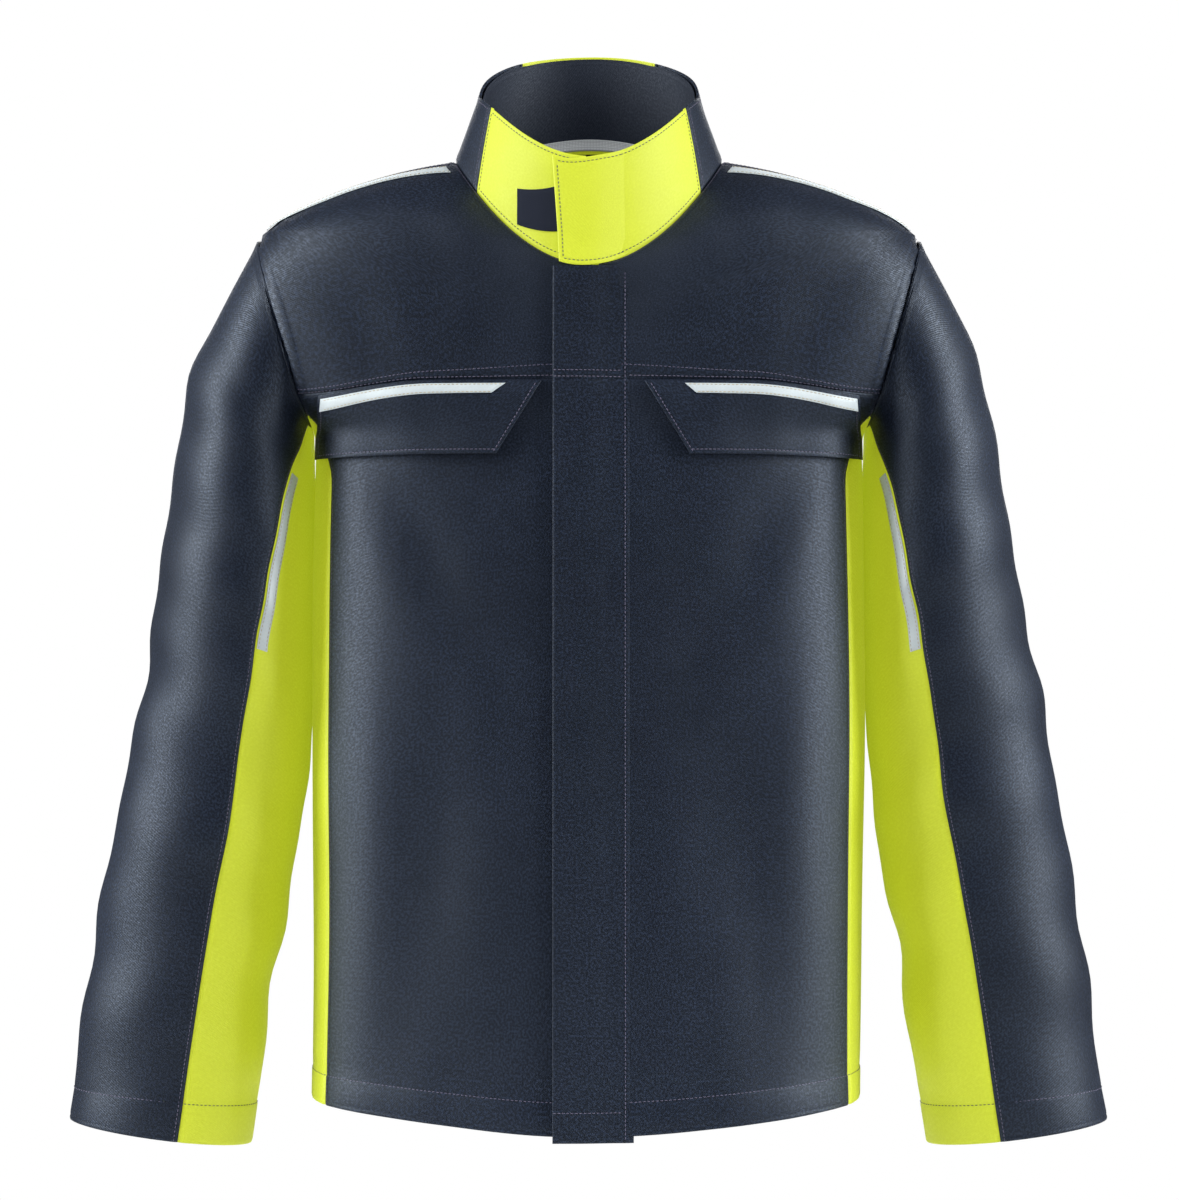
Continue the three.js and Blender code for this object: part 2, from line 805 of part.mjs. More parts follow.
// ---- Sleeves ------------------------------------------------------------------------------
// Rows along a sleeve: outer and inner edge points in the front plane, half depth, and forward drift.
const sleeveLength = shoulderTipZ - cuffZ;
const outerEdge = [
  [0, shoulderTipX, shoulderTipZ],
  [0.07, shoulderTipX + 27, shoulderTipZ - 44],
  [0.17, shoulderTipX + 52, shoulderTipZ - 105],
  [0.3, shoulderTipX + 67, shoulderTipZ - 0.29 * sleeveLength],
  [0.42, shoulderTipX + 79, shoulderTipZ - 0.4 * sleeveLength],
  [0.6, shoulderTipX + 95, shoulderTipZ - 0.56 * sleeveLength],
  [0.8, lerp(shoulderTipX + 95, cuffX + cuffHalfWidth, 0.55), shoulderTipZ - 0.77 * sleeveLength],
  [1, cuffX + cuffHalfWidth, cuffZ + 9],
];
const innerEdge = [
  [0, armpitX + 4, armpitZ + 12],
  [0.07, armpitX + 3, armpitZ - 12],
  [0.17, armpitX + 3, armpitZ - 48],
  [0.3, armpitX + 3, armpitZ - 0.17 * sleeveLength],
  [0.42, armpitX + 3, armpitZ - 0.25 * sleeveLength],
  [0.6, armpitX + 6, armpitZ - 0.39 * sleeveLength],
  [0.8, lerp(armpitX + 6, cuffX - cuffHalfWidth, 0.5), armpitZ - 0.58 * sleeveLength],
  [1, cuffX - cuffHalfWidth, cuffZ - 9],
];
const stations = outerEdge.map((row) => row[0]);
const outerX = smoothThrough(stations, outerEdge.map((row) => row[1]));
const outerZ = smoothThrough(stations, outerEdge.map((row) => row[2]));
const innerX = smoothThrough(stations, innerEdge.map((row) => row[1]));
const innerZ = smoothThrough(stations, innerEdge.map((row) => row[2]));
const sleeveDepth = smoothThrough([0, 0.1, 0.3, 0.6, 1], [74, 78, 75, 66, cuffHalfDepth]);

// A sleeve's outside at an angle round it (0 outward, a positive angle forward) and a share along it.
function sleevePoint(angle, s) {
  const outer = v3(outerX(s), 0, outerZ(s));
  const inner = v3(innerX(s), 0, innerZ(s));
  const centre = outer.clone().add(inner).multiplyScalar(0.5);
  const across = outer.clone().sub(inner).multiplyScalar(0.5);
  const ring = centre.addScaledVector(across, Math.cos(angle));
  ring.y = -sleeveDepth(s) * Math.sin(angle) - cuffForward * s * s;
  const blend = Math.max(0, 1 - s / 0.09);
  if (blend <= 0) return ring;
  const radius = armholeEdge(angle);
  const edge = armholeCentre.clone();
  edge.addScaledVector(armUp, radius * Math.cos(angle));
  edge.y = -radius * Math.sin(angle);
  const share = blend * blend * (3 - 2 * blend);
  return ring.lerp(edge.addScaledVector(armOut, seamGap), share);
}
function sleevePiece(side, from, to, start, end, outer, inner, columns, rows) {
  const step = 1e-3;
  const edge = (e, s) => (typeof e === "function" ? e(s) : e);
  const place = (p, q) => {
    const s = lerp(start, end, q ** 1.25);
    const angle = lerp(edge(from, s), edge(to, s), p);
    const round = sleevePoint(angle + step, s).sub(sleevePoint(angle - step, s));
    const near = Math.max(0, s - step);
    const along = sleevePoint(angle, Math.min(1, s + step)).sub(sleevePoint(angle, near));
    const normal = round.cross(along).normalize();
    const outward = v3(Math.cos(angle), -Math.sin(angle), Math.cos(angle) * 0.2);
    if (normal.dot(outward) < 0) normal.negate();
    const point = sleevePoint(angle, s);
    if (s === 0) normal.addScaledVector(armOut, -normal.dot(armOut)).normalize();
    point.x *= side;
    normal.x *= side;
    return [point, normal];
  };
  return sheet(place, columns, rows, outer, inner);
}
const seamAt = (s) => sleeveSeam + (sleeveSeamAtArmhole - sleeveSeam) * Math.exp(-s / 0.19);
const sleeveSeamGap = (s) => degrees(0.25 + 2.2 * Math.exp(-s / 0.05));
const turn = 2 * Math.PI;
for (const [name, side] of sides) {
  addNode(
    "sleeve_outer_" + name,
    sleevePiece(
      side,
      (s) => -seamAt(s) + sleeveSeamGap(s),
      (s) => seamAt(s) - sleeveSeamGap(s),
      0,
      1,
      0,
      -cloth,
      18,
      11,
    ),
    "navy",
  );
  addNode(
    "sleeve_inner_" + name,
    sleevePiece(
      side,
      (s) => seamAt(s) + sleeveSeamGap(s),
      (s) => turn - seamAt(s) - sleeveSeamGap(s),
      0,
      1,
      0,
      -cloth,
      7,
      11,
    ),
    "yellow",
  );
  const tapeFrom = (s) => seamAt(s) + degrees(1.2);
  const tapeTo = (s) => seamAt(s) + degrees(8.5);
  addNode(
    "sleeve_reflective_" + name,
    sleevePiece(side, tapeFrom, tapeTo, 0.16, 0.41, seamGap + trim, seamGap, 1, 6),
    "reflective",
  );
}

// Reflective tape along the front of each shoulder seam.
const shoulderTapeHeight = 9;
for (const [name, side] of sides) {
  const place = (p, q) => {
    const v = lerp(body.shares[11] + 0.01, tipShare + 0.012, p);
    const drop = lerp(shoulderTapeHeight, 1, q) + 4;
    let low = 0;
    let high = Math.PI / 2;
    const wanted = shoulderSeamY - drop;
    for (let i = 0; i < 40; i += 1) {
      const middle = (low + high) / 2;
      if (body.point(middle, v).y < wanted) low = middle;
      else high = middle;
    }
    const point = body.point(low, v);
    const normal = body.normal(low, v);
    point.x *= side;
    normal.x *= side;
    return [point, normal];
  };
  addNode("shoulder_reflective_" + name, sheet(place, 6, 1, seamGap + trim, seamGap), "reflective");
}

export default coat;
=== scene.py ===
# %% [markdown]
# A protective work coat, cell by cell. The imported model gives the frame: nodes, bodies and joints.
# Every piece below is cloth or trim that lies where its plain solid lies, so the frame is loaded first
# and its box is noted, to compare with the finished coat's box at the end.

# %% Load the frame
import json
import math

import bmesh
import bpy
import numpy as np
from mathutils import Vector
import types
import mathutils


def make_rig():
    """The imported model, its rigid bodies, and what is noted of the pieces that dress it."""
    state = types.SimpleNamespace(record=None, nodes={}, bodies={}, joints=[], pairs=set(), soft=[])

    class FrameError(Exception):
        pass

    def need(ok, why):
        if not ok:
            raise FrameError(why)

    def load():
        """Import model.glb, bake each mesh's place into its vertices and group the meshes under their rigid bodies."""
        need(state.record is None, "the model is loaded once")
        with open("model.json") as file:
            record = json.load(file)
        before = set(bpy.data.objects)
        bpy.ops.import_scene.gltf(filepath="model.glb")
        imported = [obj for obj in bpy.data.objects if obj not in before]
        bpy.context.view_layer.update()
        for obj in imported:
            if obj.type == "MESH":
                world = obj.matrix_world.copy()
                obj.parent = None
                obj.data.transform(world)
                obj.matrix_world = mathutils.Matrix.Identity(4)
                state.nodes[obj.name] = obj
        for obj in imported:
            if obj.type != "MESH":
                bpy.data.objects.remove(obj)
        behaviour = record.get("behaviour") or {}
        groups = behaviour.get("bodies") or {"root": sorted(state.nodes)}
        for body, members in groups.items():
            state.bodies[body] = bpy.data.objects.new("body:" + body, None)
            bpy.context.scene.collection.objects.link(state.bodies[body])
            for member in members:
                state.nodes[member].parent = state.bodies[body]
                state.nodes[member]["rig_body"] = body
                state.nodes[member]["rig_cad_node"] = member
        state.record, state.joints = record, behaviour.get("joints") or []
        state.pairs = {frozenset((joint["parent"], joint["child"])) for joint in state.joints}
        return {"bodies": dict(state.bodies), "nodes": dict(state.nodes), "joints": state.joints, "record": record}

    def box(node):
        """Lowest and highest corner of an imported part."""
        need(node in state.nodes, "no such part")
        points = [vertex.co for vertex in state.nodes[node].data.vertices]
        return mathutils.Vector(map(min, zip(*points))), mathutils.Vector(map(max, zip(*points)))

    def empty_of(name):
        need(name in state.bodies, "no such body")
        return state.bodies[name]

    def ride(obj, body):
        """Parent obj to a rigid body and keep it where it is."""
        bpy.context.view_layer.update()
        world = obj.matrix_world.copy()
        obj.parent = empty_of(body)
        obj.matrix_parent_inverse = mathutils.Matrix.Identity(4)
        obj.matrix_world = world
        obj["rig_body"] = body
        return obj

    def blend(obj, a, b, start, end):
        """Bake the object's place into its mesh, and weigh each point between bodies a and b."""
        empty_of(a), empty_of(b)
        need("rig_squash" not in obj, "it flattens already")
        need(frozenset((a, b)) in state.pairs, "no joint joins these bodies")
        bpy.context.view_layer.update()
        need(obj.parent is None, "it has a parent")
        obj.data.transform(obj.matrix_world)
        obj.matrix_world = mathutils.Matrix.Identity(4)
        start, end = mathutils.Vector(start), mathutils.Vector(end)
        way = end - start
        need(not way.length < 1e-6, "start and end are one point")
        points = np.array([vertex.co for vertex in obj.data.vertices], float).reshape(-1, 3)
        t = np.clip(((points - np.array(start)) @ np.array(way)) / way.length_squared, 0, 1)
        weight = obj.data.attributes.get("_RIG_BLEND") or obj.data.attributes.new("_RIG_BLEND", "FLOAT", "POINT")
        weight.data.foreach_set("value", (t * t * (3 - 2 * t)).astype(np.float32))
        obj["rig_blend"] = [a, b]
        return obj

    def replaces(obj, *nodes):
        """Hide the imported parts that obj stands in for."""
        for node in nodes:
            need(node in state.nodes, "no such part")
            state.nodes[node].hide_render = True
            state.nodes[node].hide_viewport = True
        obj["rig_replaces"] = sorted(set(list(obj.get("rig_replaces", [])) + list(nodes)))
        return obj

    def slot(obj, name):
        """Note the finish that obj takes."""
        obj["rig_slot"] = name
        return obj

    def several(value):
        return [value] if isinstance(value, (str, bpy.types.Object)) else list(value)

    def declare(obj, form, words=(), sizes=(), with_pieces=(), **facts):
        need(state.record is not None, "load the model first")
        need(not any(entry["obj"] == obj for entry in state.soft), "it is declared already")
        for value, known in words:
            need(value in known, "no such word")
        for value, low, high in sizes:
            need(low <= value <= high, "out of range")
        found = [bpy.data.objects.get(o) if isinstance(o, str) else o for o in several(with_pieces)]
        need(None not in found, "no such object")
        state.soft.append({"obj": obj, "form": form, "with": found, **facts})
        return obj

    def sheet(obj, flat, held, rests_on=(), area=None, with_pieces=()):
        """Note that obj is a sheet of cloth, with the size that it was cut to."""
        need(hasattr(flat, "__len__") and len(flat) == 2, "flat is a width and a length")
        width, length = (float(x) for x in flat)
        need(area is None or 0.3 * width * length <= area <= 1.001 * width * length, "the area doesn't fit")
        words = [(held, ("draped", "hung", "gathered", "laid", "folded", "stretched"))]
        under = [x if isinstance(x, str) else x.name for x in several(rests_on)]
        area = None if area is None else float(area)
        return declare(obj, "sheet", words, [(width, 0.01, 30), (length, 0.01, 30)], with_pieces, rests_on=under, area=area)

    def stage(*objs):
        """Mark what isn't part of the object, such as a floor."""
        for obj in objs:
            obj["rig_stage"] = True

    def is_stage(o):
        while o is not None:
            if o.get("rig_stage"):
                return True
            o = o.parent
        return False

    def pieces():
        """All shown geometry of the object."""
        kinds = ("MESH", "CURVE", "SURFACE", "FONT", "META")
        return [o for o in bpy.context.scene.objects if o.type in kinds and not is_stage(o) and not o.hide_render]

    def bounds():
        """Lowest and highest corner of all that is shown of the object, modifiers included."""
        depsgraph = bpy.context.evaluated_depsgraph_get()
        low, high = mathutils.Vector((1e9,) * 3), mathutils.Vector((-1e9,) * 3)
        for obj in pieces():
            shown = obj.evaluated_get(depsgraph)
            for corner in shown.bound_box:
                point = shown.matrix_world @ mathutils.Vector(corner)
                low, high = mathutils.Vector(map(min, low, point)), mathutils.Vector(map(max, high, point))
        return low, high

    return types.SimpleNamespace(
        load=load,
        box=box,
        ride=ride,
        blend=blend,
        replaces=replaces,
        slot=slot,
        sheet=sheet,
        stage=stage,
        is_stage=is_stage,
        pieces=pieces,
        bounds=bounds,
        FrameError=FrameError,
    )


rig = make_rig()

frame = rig.load()
cad_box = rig.bounds()
joints = {joint["name"]: joint for joint in frame["joints"]}
print("nodes", len(frame["nodes"]), "box", cad_box)

# %% [markdown]
# The coat's size. A garment is cut from a few measures: chest, back length, shoulder, neck and cuff.
# Those that a node shows are read from its box; the others are the pattern's own values, in metres.

# %% Pattern sizes
CHEST = 0.204
FRONT_REACH, FRONT_LEAN, BACK_REACH = 0.100, 0.0479, 0.112
HEM_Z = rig.box("front_panel_left")[0][2]
HEM_SIDE_RISE, HEM_BACK_RISE = 0.015, 0.011
ARMPIT_X, ARMPIT_Z = CHEST, -0.180
TIP_X, TIP_Z = ARMPIT_X + 0.042, -0.036
NECK_X, NECK_FRONT_Z, NECK_SIDE_Z, NECK_BACK_Z = 0.100, -0.057, 0.028, 0.045
NECK_FRONT, NECK_BACK = 0.098, 0.072
COLLAR_HEIGHT, COLLAR_SIDE, COLLAR_BACK, COLLAR_TOP_X = 0.080, 0.048, 0.075, 0.082
CUFF_X, CUFF_Z, CUFF_HALF, CUFF_DEPTH, CUFF_FORWARD = TIP_X + 0.072, -0.693, 0.067, 0.048, 0.025
YOKE_FRONT_Z, YOKE_BACK_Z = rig.box("front_yoke_left")[0][2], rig.box("back_yoke")[0][2]
SIDE_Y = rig.box("side_panel_left")[1][1]
SEAM_Y, SIDE_FORWARD, SIDE_TURN_BACK = 0.020, 0.007, 0.016
FLAP_FREE_X, FLAP_HINGE_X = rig.box("storm_flap")[0][0], joints["storm_flap_fold"]["pos_m"][0]
FRONT_EDGE_X = 0.007
TURN = 2 * math.pi
print("hem", HEM_Z, "yoke", YOKE_FRONT_Z, YOKE_BACK_Z, "hinge", FLAP_HINGE_X)

# %% [markdown]
# The body of a coat is a stack of loops: at each height a rounded oblong with its own width, depth and
# tilt. A smooth function runs through the loops without overshooting, so the side line stays fair from
# hem to armpit, out over the shoulder and in to the neck.

# %% Surfaces through loops
def smooth_through(knots, values):
    knots, values = np.array(knots, float), np.array(values, float)
    slope = np.diff(values) / np.diff(knots)
    before = np.concatenate([slope[:1], slope])
    after = np.concatenate([slope, slope[-1:]])
    total = np.where(before + after == 0, 1, before + after)
    tangent = np.where(before * after <= 0, 0, 2 * before * after / total)

    def at(t):
        t = np.asarray(t, float)
        i = np.clip(np.searchsorted(knots, t, side="right") - 1, 0, len(knots) - 2)
        span = knots[i + 1] - knots[i]
        s = np.clip((t - knots[i]) / span, 0, 1)
        rise = values[i + 1] - values[i]
        a = tangent[i] * span - rise
        b = rise - tangent[i + 1] * span
        return values[i] + s * rise + s * (1 - s) * (a * (1 - s) + b * s)

    return at


def mix(a, b, share):
    return a + (b - a) * share


def smooth(t):
    t = np.clip(t, 0, 1)
    return t * t * (3 - 2 * t)


def unit(vectors):
    return vectors / np.maximum(np.linalg.norm(vectors, axis=-1, keepdims=True), 1e-12)


# %% [markdown]
# One small class holds such a stack of loops. A point on it is given by an angle around the loop, from the
# middle of the front, and by a share of the height. Its normal comes from two short steps on the surface.

# %% A surface through loops
class LoopSurface:
    """Loops as one surface: half width, front, back, side z, front z, back z, fullness, back power."""

    def __init__(self, loops):
        loops = np.array(loops, float)
        run = np.hypot(np.diff(loops[:, 0]), np.diff(loops[:, 3]))
        self.shares = np.concatenate([[0], np.cumsum(run)]) / run.sum()
        self.at = [smooth_through(self.shares, column) for column in loops.T]

    def point(self, angle, v):
        angle, v = np.broadcast_arrays(np.asarray(angle, float), np.asarray(v, float))
        half, front, back, side_z, front_z, back_z, full, power = [f(v) for f in self.at]
        facing = np.cos(angle)
        depth = np.where(facing >= 0, front, back)
        total = np.abs(np.sin(angle) / half) ** full + np.abs(facing / depth) ** full
        radius = total ** (-1 / full)
        end_z = np.where(facing >= 0, front_z, back_z)
        z = mix(side_z, end_z, np.abs(facing) ** np.where(facing >= 0, 2, power))
        return np.stack([radius * np.sin(angle), -radius * facing, z], axis=-1)

    def normal(self, angle, v, step=1e-3):
        low, high = np.maximum(0, v - step), np.minimum(1, v + step)
        across = self.point(angle + step, v) - self.point(angle - step, v)
        up = self.point(angle, high) - self.point(angle, low)
        return unit(np.cross(across, up))


# %% [markdown]
# The coat's own loops: four for the trunk, three where it widens into the sleeve heads, and six that run
# up over the shoulders to the neckline. The collar is a short stack of two on the same neckline.

# %% The body's and the collar's loops
def reach(front_z):
    return FRONT_REACH + (NECK_FRONT_Z - front_z) * FRONT_LEAN


def body_loop(half, back, side_z, front_z, back_z, full):
    return half, reach(front_z), back, side_z, front_z, back_z, full, 2


def shoulder_loop(inward, rise, front_up, back_up, back, full):
    return body_loop(
        TIP_X + 0.005 - inward * (TIP_X - NECK_X + 0.005),
        mix(BACK_REACH, NECK_BACK, back),
        TIP_Z + rise * (NECK_SIDE_Z - TIP_Z),
        mix(-0.141, NECK_FRONT_Z, front_up),
        mix(ARMPIT_Z, NECK_BACK_Z, back_up),
        full,
    )


ARM_SPAN = TIP_Z - ARMPIT_Z
WAIST_Z, LOW_ARM_Z = (HEM_Z + ARMPIT_Z) / 2, ARMPIT_Z - 0.045
NECK_LOOP = (NECK_X, NECK_FRONT, NECK_BACK, NECK_SIDE_Z, NECK_FRONT_Z, NECK_BACK_Z, 2.1, 2)
body = LoopSurface([
    body_loop(CHEST, BACK_REACH, HEM_Z + HEM_SIDE_RISE, HEM_Z, HEM_Z + HEM_BACK_RISE, 2.6),
    body_loop(CHEST, BACK_REACH, WAIST_Z, WAIST_Z, WAIST_Z, 2.6),
    body_loop(CHEST - 0.001, BACK_REACH, LOW_ARM_Z, LOW_ARM_Z, LOW_ARM_Z, 2.5),
    body_loop(ARMPIT_X - 0.0015, BACK_REACH - 0.001, ARMPIT_Z, ARMPIT_Z, ARMPIT_Z, 2.5),
    body_loop(TIP_X + 0.008, BACK_REACH - 0.002, ARMPIT_Z + 0.28 * ARM_SPAN, ARMPIT_Z + 0.030,
              ARMPIT_Z + 0.050, 2.5),
    body_loop(TIP_X + 0.029, BACK_REACH - 0.003, ARMPIT_Z + 0.56 * ARM_SPAN, ARMPIT_Z + 0.055,
              ARMPIT_Z + 0.095, 2.5),
    body_loop(TIP_X + 0.026, BACK_REACH - 0.004, ARMPIT_Z + 0.8 * ARM_SPAN, ARMPIT_Z + 0.072,
              ARMPIT_Z + 0.130, 2.45),
    shoulder_loop(0, 0, 0.54, 0.7, 0.15, 2.4),
    shoulder_loop(0.12, 0.27, 0.61, 0.76, 0.2, 2.35),
    shoulder_loop(0.4, 0.62, 0.75, 0.86, 0.35, 2.25),
    shoulder_loop(0.68, 0.84, 0.87, 0.93, 0.55, 2.15),
    shoulder_loop(0.88, 0.95, 0.95, 0.98, 0.78, 2.1),
    NECK_LOOP,
])
collar = LoopSurface([
    NECK_LOOP,
    (COLLAR_TOP_X, NECK_FRONT - 0.018, NECK_BACK + 0.012, NECK_SIDE_Z + COLLAR_SIDE,
     NECK_FRONT_Z + COLLAR_HEIGHT, NECK_BACK_Z + COLLAR_BACK, 2.05, 0.8),
])
ARMPIT_V = body.shares[3]
print("loops", len(body.shares), "armpit at", round(ARMPIT_V, 3))

# %% [markdown]
# Seams are places where the surface meets a line or a plane: the zip line, the side seam, the armhole.
# Each is found by halving an interval until the edge is met, for many points at once.

# %% Where seams lie
def halving(low, high, before, rounds=30):
    low, high = np.array(low, float), np.array(high, float)
    for _ in range(rounds):
        middle = (low + high) / 2
        inside = before(middle)
        low, high = np.where(inside, middle, low), np.where(inside, high, middle)
    return (low + high) / 2


# %% [markdown]
# The armhole is cut by one slanting plane between the shoulder's tip and the armpit. A side seam follows
# a constant depth until it runs out into the armhole, and the shoulder seam leans forward to the neck.

# %% The seams' edges
tip = np.array([TIP_X, 0, TIP_Z])
armpit = np.array([ARMPIT_X, 0, ARMPIT_Z])
arm_up = unit(tip - armpit)
arm_out = np.array([arm_up[2], 0, -arm_up[0]])
arm_centre = (tip + armpit) / 2


def beyond_arm(points):
    return (points - tip) @ arm_out


# where the ridge of the shoulder crosses the armhole's plane
TIP_V = float(halving(body.shares[6], body.shares[8],
                      lambda v: beyond_arm(body.point(math.pi / 2, v)) > 0))


def quarter(v, before):
    """From the middle of the front, the angle at each height share where a test stops being true."""
    low = np.zeros_like(v)
    return halving(low, low + math.pi / 2, before)


def front_angle(v, before):
    v = np.asarray(v, float)
    return quarter(v, lambda a: before(body.point(a, v)))


def back_angle(v, before):
    v = np.asarray(v, float)
    return math.pi - quarter(v, lambda a: before(body.point(math.pi - a, v)))


def seam_angle(v):
    drawn = -SEAM_Y * smooth((v - TIP_V) / (0.35 * (1 - TIP_V)))
    return front_angle(v, lambda points: points[..., 1] < drawn)


def arm_edge(turn, v):
    return turn(v, lambda points: beyond_arm(points) < 0)


def side_front(v):
    forward = SIDE_Y + SIDE_FORWARD * (1 - smooth(v / ARMPIT_V))
    forward -= SIDE_TURN_BACK * smooth((v / ARMPIT_V - 0.93) / 0.08)
    return front_angle(v, lambda points: points[..., 1] < -forward)


def side_back(v):
    return back_angle(v, lambda points: points[..., 1] > SIDE_Y)


def outer_edge(turn, side, top_v):
    """The outer edge of a front or back: side seam, then armhole, then shoulder seam."""
    def at(v):
        v = np.asarray(v, float)
        edge = np.where(v < ARMPIT_V, math.pi / 2, arm_edge(turn, v))
        low = np.where(v < top_v, side(v), edge)
        return np.where(v >= TIP_V, seam_angle(v), low)

    return at


def place_xz(x, z, from_back=False):
    """Angle and height share of the body where it has this x and z."""
    x, z = np.broadcast_arrays(np.asarray(x, float), np.asarray(z, float))
    turn = back_angle if from_back else front_angle

    def angle_for(v):
        return turn(v, lambda points: points[..., 0] < np.abs(x))

    low = np.zeros_like(x)
    v = halving(low, low + 1, lambda v: body.point(angle_for(v), v)[..., 2] < z, 22)
    angle = angle_for(v)
    return np.where(x < 0, -angle, angle), v


# %% [markdown]
# Halving an interval for every point of every panel would be slow, so each edge is worked out once, at
# many heights, and later read from its table. The armhole becomes a radius at each angle round the arm.

# %% Edge tables and the armhole's ring
def into_armhole(side, low=ARMPIT_V):
    """The height share where a side seam runs out into the armhole."""
    return halving(low, ARMPIT_V + 0.15, lambda v: beyond_arm(body.point(side(v), v)) < 0)


SIDE_TOP_V, SIDE_TOP_BACK_V = float(into_armhole(side_front)), float(into_armhole(side_back))


def tabled(edge):
    """An edge worked out once, finely where it meets the armhole, and read from then on."""
    fine = np.linspace(0, 0.2, 160) ** 2
    jump = [SIDE_TOP_V - 1e-7, SIDE_TOP_V + 1e-7]
    v = np.concatenate([np.linspace(0, 1, 900), ARMPIT_V + fine, TIP_V - fine, TIP_V + fine, jump])
    v = np.unique(np.clip(v, 0, 1))
    angles = edge(v)
    return lambda share: np.interp(share, v, angles)


front_edge = tabled(outer_edge(front_angle, side_front, SIDE_TOP_V))
back_edge = tabled(outer_edge(back_angle, side_back, SIDE_TOP_BACK_V))
front_side, back_side = tabled(side_front), tabled(side_back)
shoulder_seam = tabled(seam_angle)


def armhole_ring():
    v = np.linspace(ARMPIT_V, TIP_V, 240)
    v = v[beyond_arm(body.point(np.full_like(v, math.pi / 2), v)) > 0]
    edge = np.concatenate([body.point(arm_edge(turn, v), v) for turn in (front_angle, back_angle)])
    edge = edge - arm_centre
    up = edge @ arm_up
    angle = np.arctan2(-edge[:, 1], up)
    order = np.argsort(angle)
    angle, radius = angle[order], np.hypot(edge[order, 1], up[order])
    angle = np.concatenate([[angle[-1] - TURN], angle, [angle[0] + TURN]])
    radius = np.concatenate([radius[-1:], radius, radius[:1]])
    return lambda a: np.interp(np.arctan2(np.sin(a), np.cos(a)), angle, radius)


armhole_radius = armhole_ring()
print("armhole radius", [round(float(armhole_radius(a)), 3) for a in (0, 1.57, 3.14)],
      "side seams end at", round(SIDE_TOP_V, 3), round(SIDE_TOP_BACK_V, 3), "tip at", round(TIP_V, 3))

# %% [markdown]
# A sleeve is a tube between an outer and an inner edge line. Its first ring is the armhole itself, and
# within the first few centimetres it eases into plain ovals down to the cuff.

# %% The sleeve's surface
SLEEVE_DROP = TIP_Z - CUFF_Z
SEAM_GAP = 0.0004
STATIONS = [0, 0.07, 0.17, 0.3, 0.42, 0.6, 0.8, 1]
CUFF_OUT, CUFF_IN, CUFF_SLANT = CUFF_X + CUFF_HALF, CUFF_X - CUFF_HALF, 0.009


def sleeve_line(start, steps, last):
    """One value of an edge line at every station: steps from its start, then its last values."""
    return smooth_through(STATIONS, [start + step for step in steps] + last)


outer_x = sleeve_line(TIP_X, (0, 0.027, 0.052, 0.067, 0.079, 0.095),
                      [mix(TIP_X + 0.095, CUFF_OUT, 0.55), CUFF_OUT])
inner_x = sleeve_line(ARMPIT_X, (0.004, 0.002, 0.0012, 0.001, 0.0012, 0.006),
                      [mix(ARMPIT_X + 0.006, CUFF_IN, 0.5), CUFF_IN])
outer_drops = [0, -0.044, -0.105] + [-share * SLEEVE_DROP for share in (0.29, 0.4, 0.56, 0.77)]
inner_drops = [0.012, -0.012, -0.048] + [-share * SLEEVE_DROP for share in (0.17, 0.25, 0.39, 0.58)]
outer_z = sleeve_line(TIP_Z, outer_drops, [CUFF_Z + CUFF_SLANT])
inner_z = sleeve_line(ARMPIT_Z, inner_drops, [CUFF_Z - CUFF_SLANT])
sleeve_depth = smooth_through([0, 0.1, 0.3, 0.6, 1], [0.074, 0.078, 0.075, 0.066, CUFF_DEPTH])
seam_width = math.radians(64)


def sleeve_seam(s):
    return math.radians(105) + seam_width * np.exp(-np.asarray(s, float) / 0.19)


def sleeve_point(angle, s):
    angle, s = np.broadcast_arrays(np.asarray(angle, float), np.asarray(s, float))
    zero = np.zeros_like(s)
    outer = np.stack([outer_x(s), zero, outer_z(s)], axis=-1)
    inner = np.stack([inner_x(s), zero, inner_z(s)], axis=-1)
    ring = (outer + inner) / 2 + (outer - inner) / 2 * np.cos(angle)[..., None]
    ring[..., 1] = -sleeve_depth(s) * np.sin(angle) - CUFF_FORWARD * s**2
    radius = armhole_radius(angle)
    edge = arm_centre + arm_up * (radius * np.cos(angle))[..., None] + arm_out * SEAM_GAP
    edge[..., 1] = -radius * np.sin(angle)
    return ring + (edge - ring) * smooth(1 - s / 0.09)[..., None]


def sleeve_normal(angle, s, step=1e-3):
    around = sleeve_point(angle + step, s) - sleeve_point(angle - step, s)
    along = sleeve_point(angle, np.minimum(1, s + step)) - sleeve_point(angle, np.maximum(0, s - step))
    normal = unit(np.cross(around, along))
    outward = np.stack([np.cos(angle), -np.sin(angle), 0.2 * np.cos(angle)], axis=-1)
    return normal * np.sign(np.sum(normal * outward, axis=-1))[..., None]


# %% [markdown]
# Cloth is never a perfect surface. Broad, soft folds fall from the chest to the hem, drag lines run from
# the armpits, and a sleeve breaks at the elbow. Each fold is a smooth wave with its own place, reach and
# depth, so neighbouring pieces move alike and stay sewn together.

# %% Folds
folds = np.random.default_rng(7)
BODY_WAVES = [(count, folds.uniform(0, TURN), folds.uniform(-6, 6), folds.uniform(0.5, 1))
              for count in (3, 5, 7, 11)]
SLEEVE_WAVES = [(folds.uniform(22, 60), folds.integers(-2, 3), folds.uniform(0, TURN),
                 folds.uniform(0.4, 1)) for _ in range(7)]
RIPPLES = [(folds.normal(0, 1, 3) * (70, 50, 22), folds.uniform(0, TURN), folds.uniform(0.3, 1))
           for _ in range(9)]
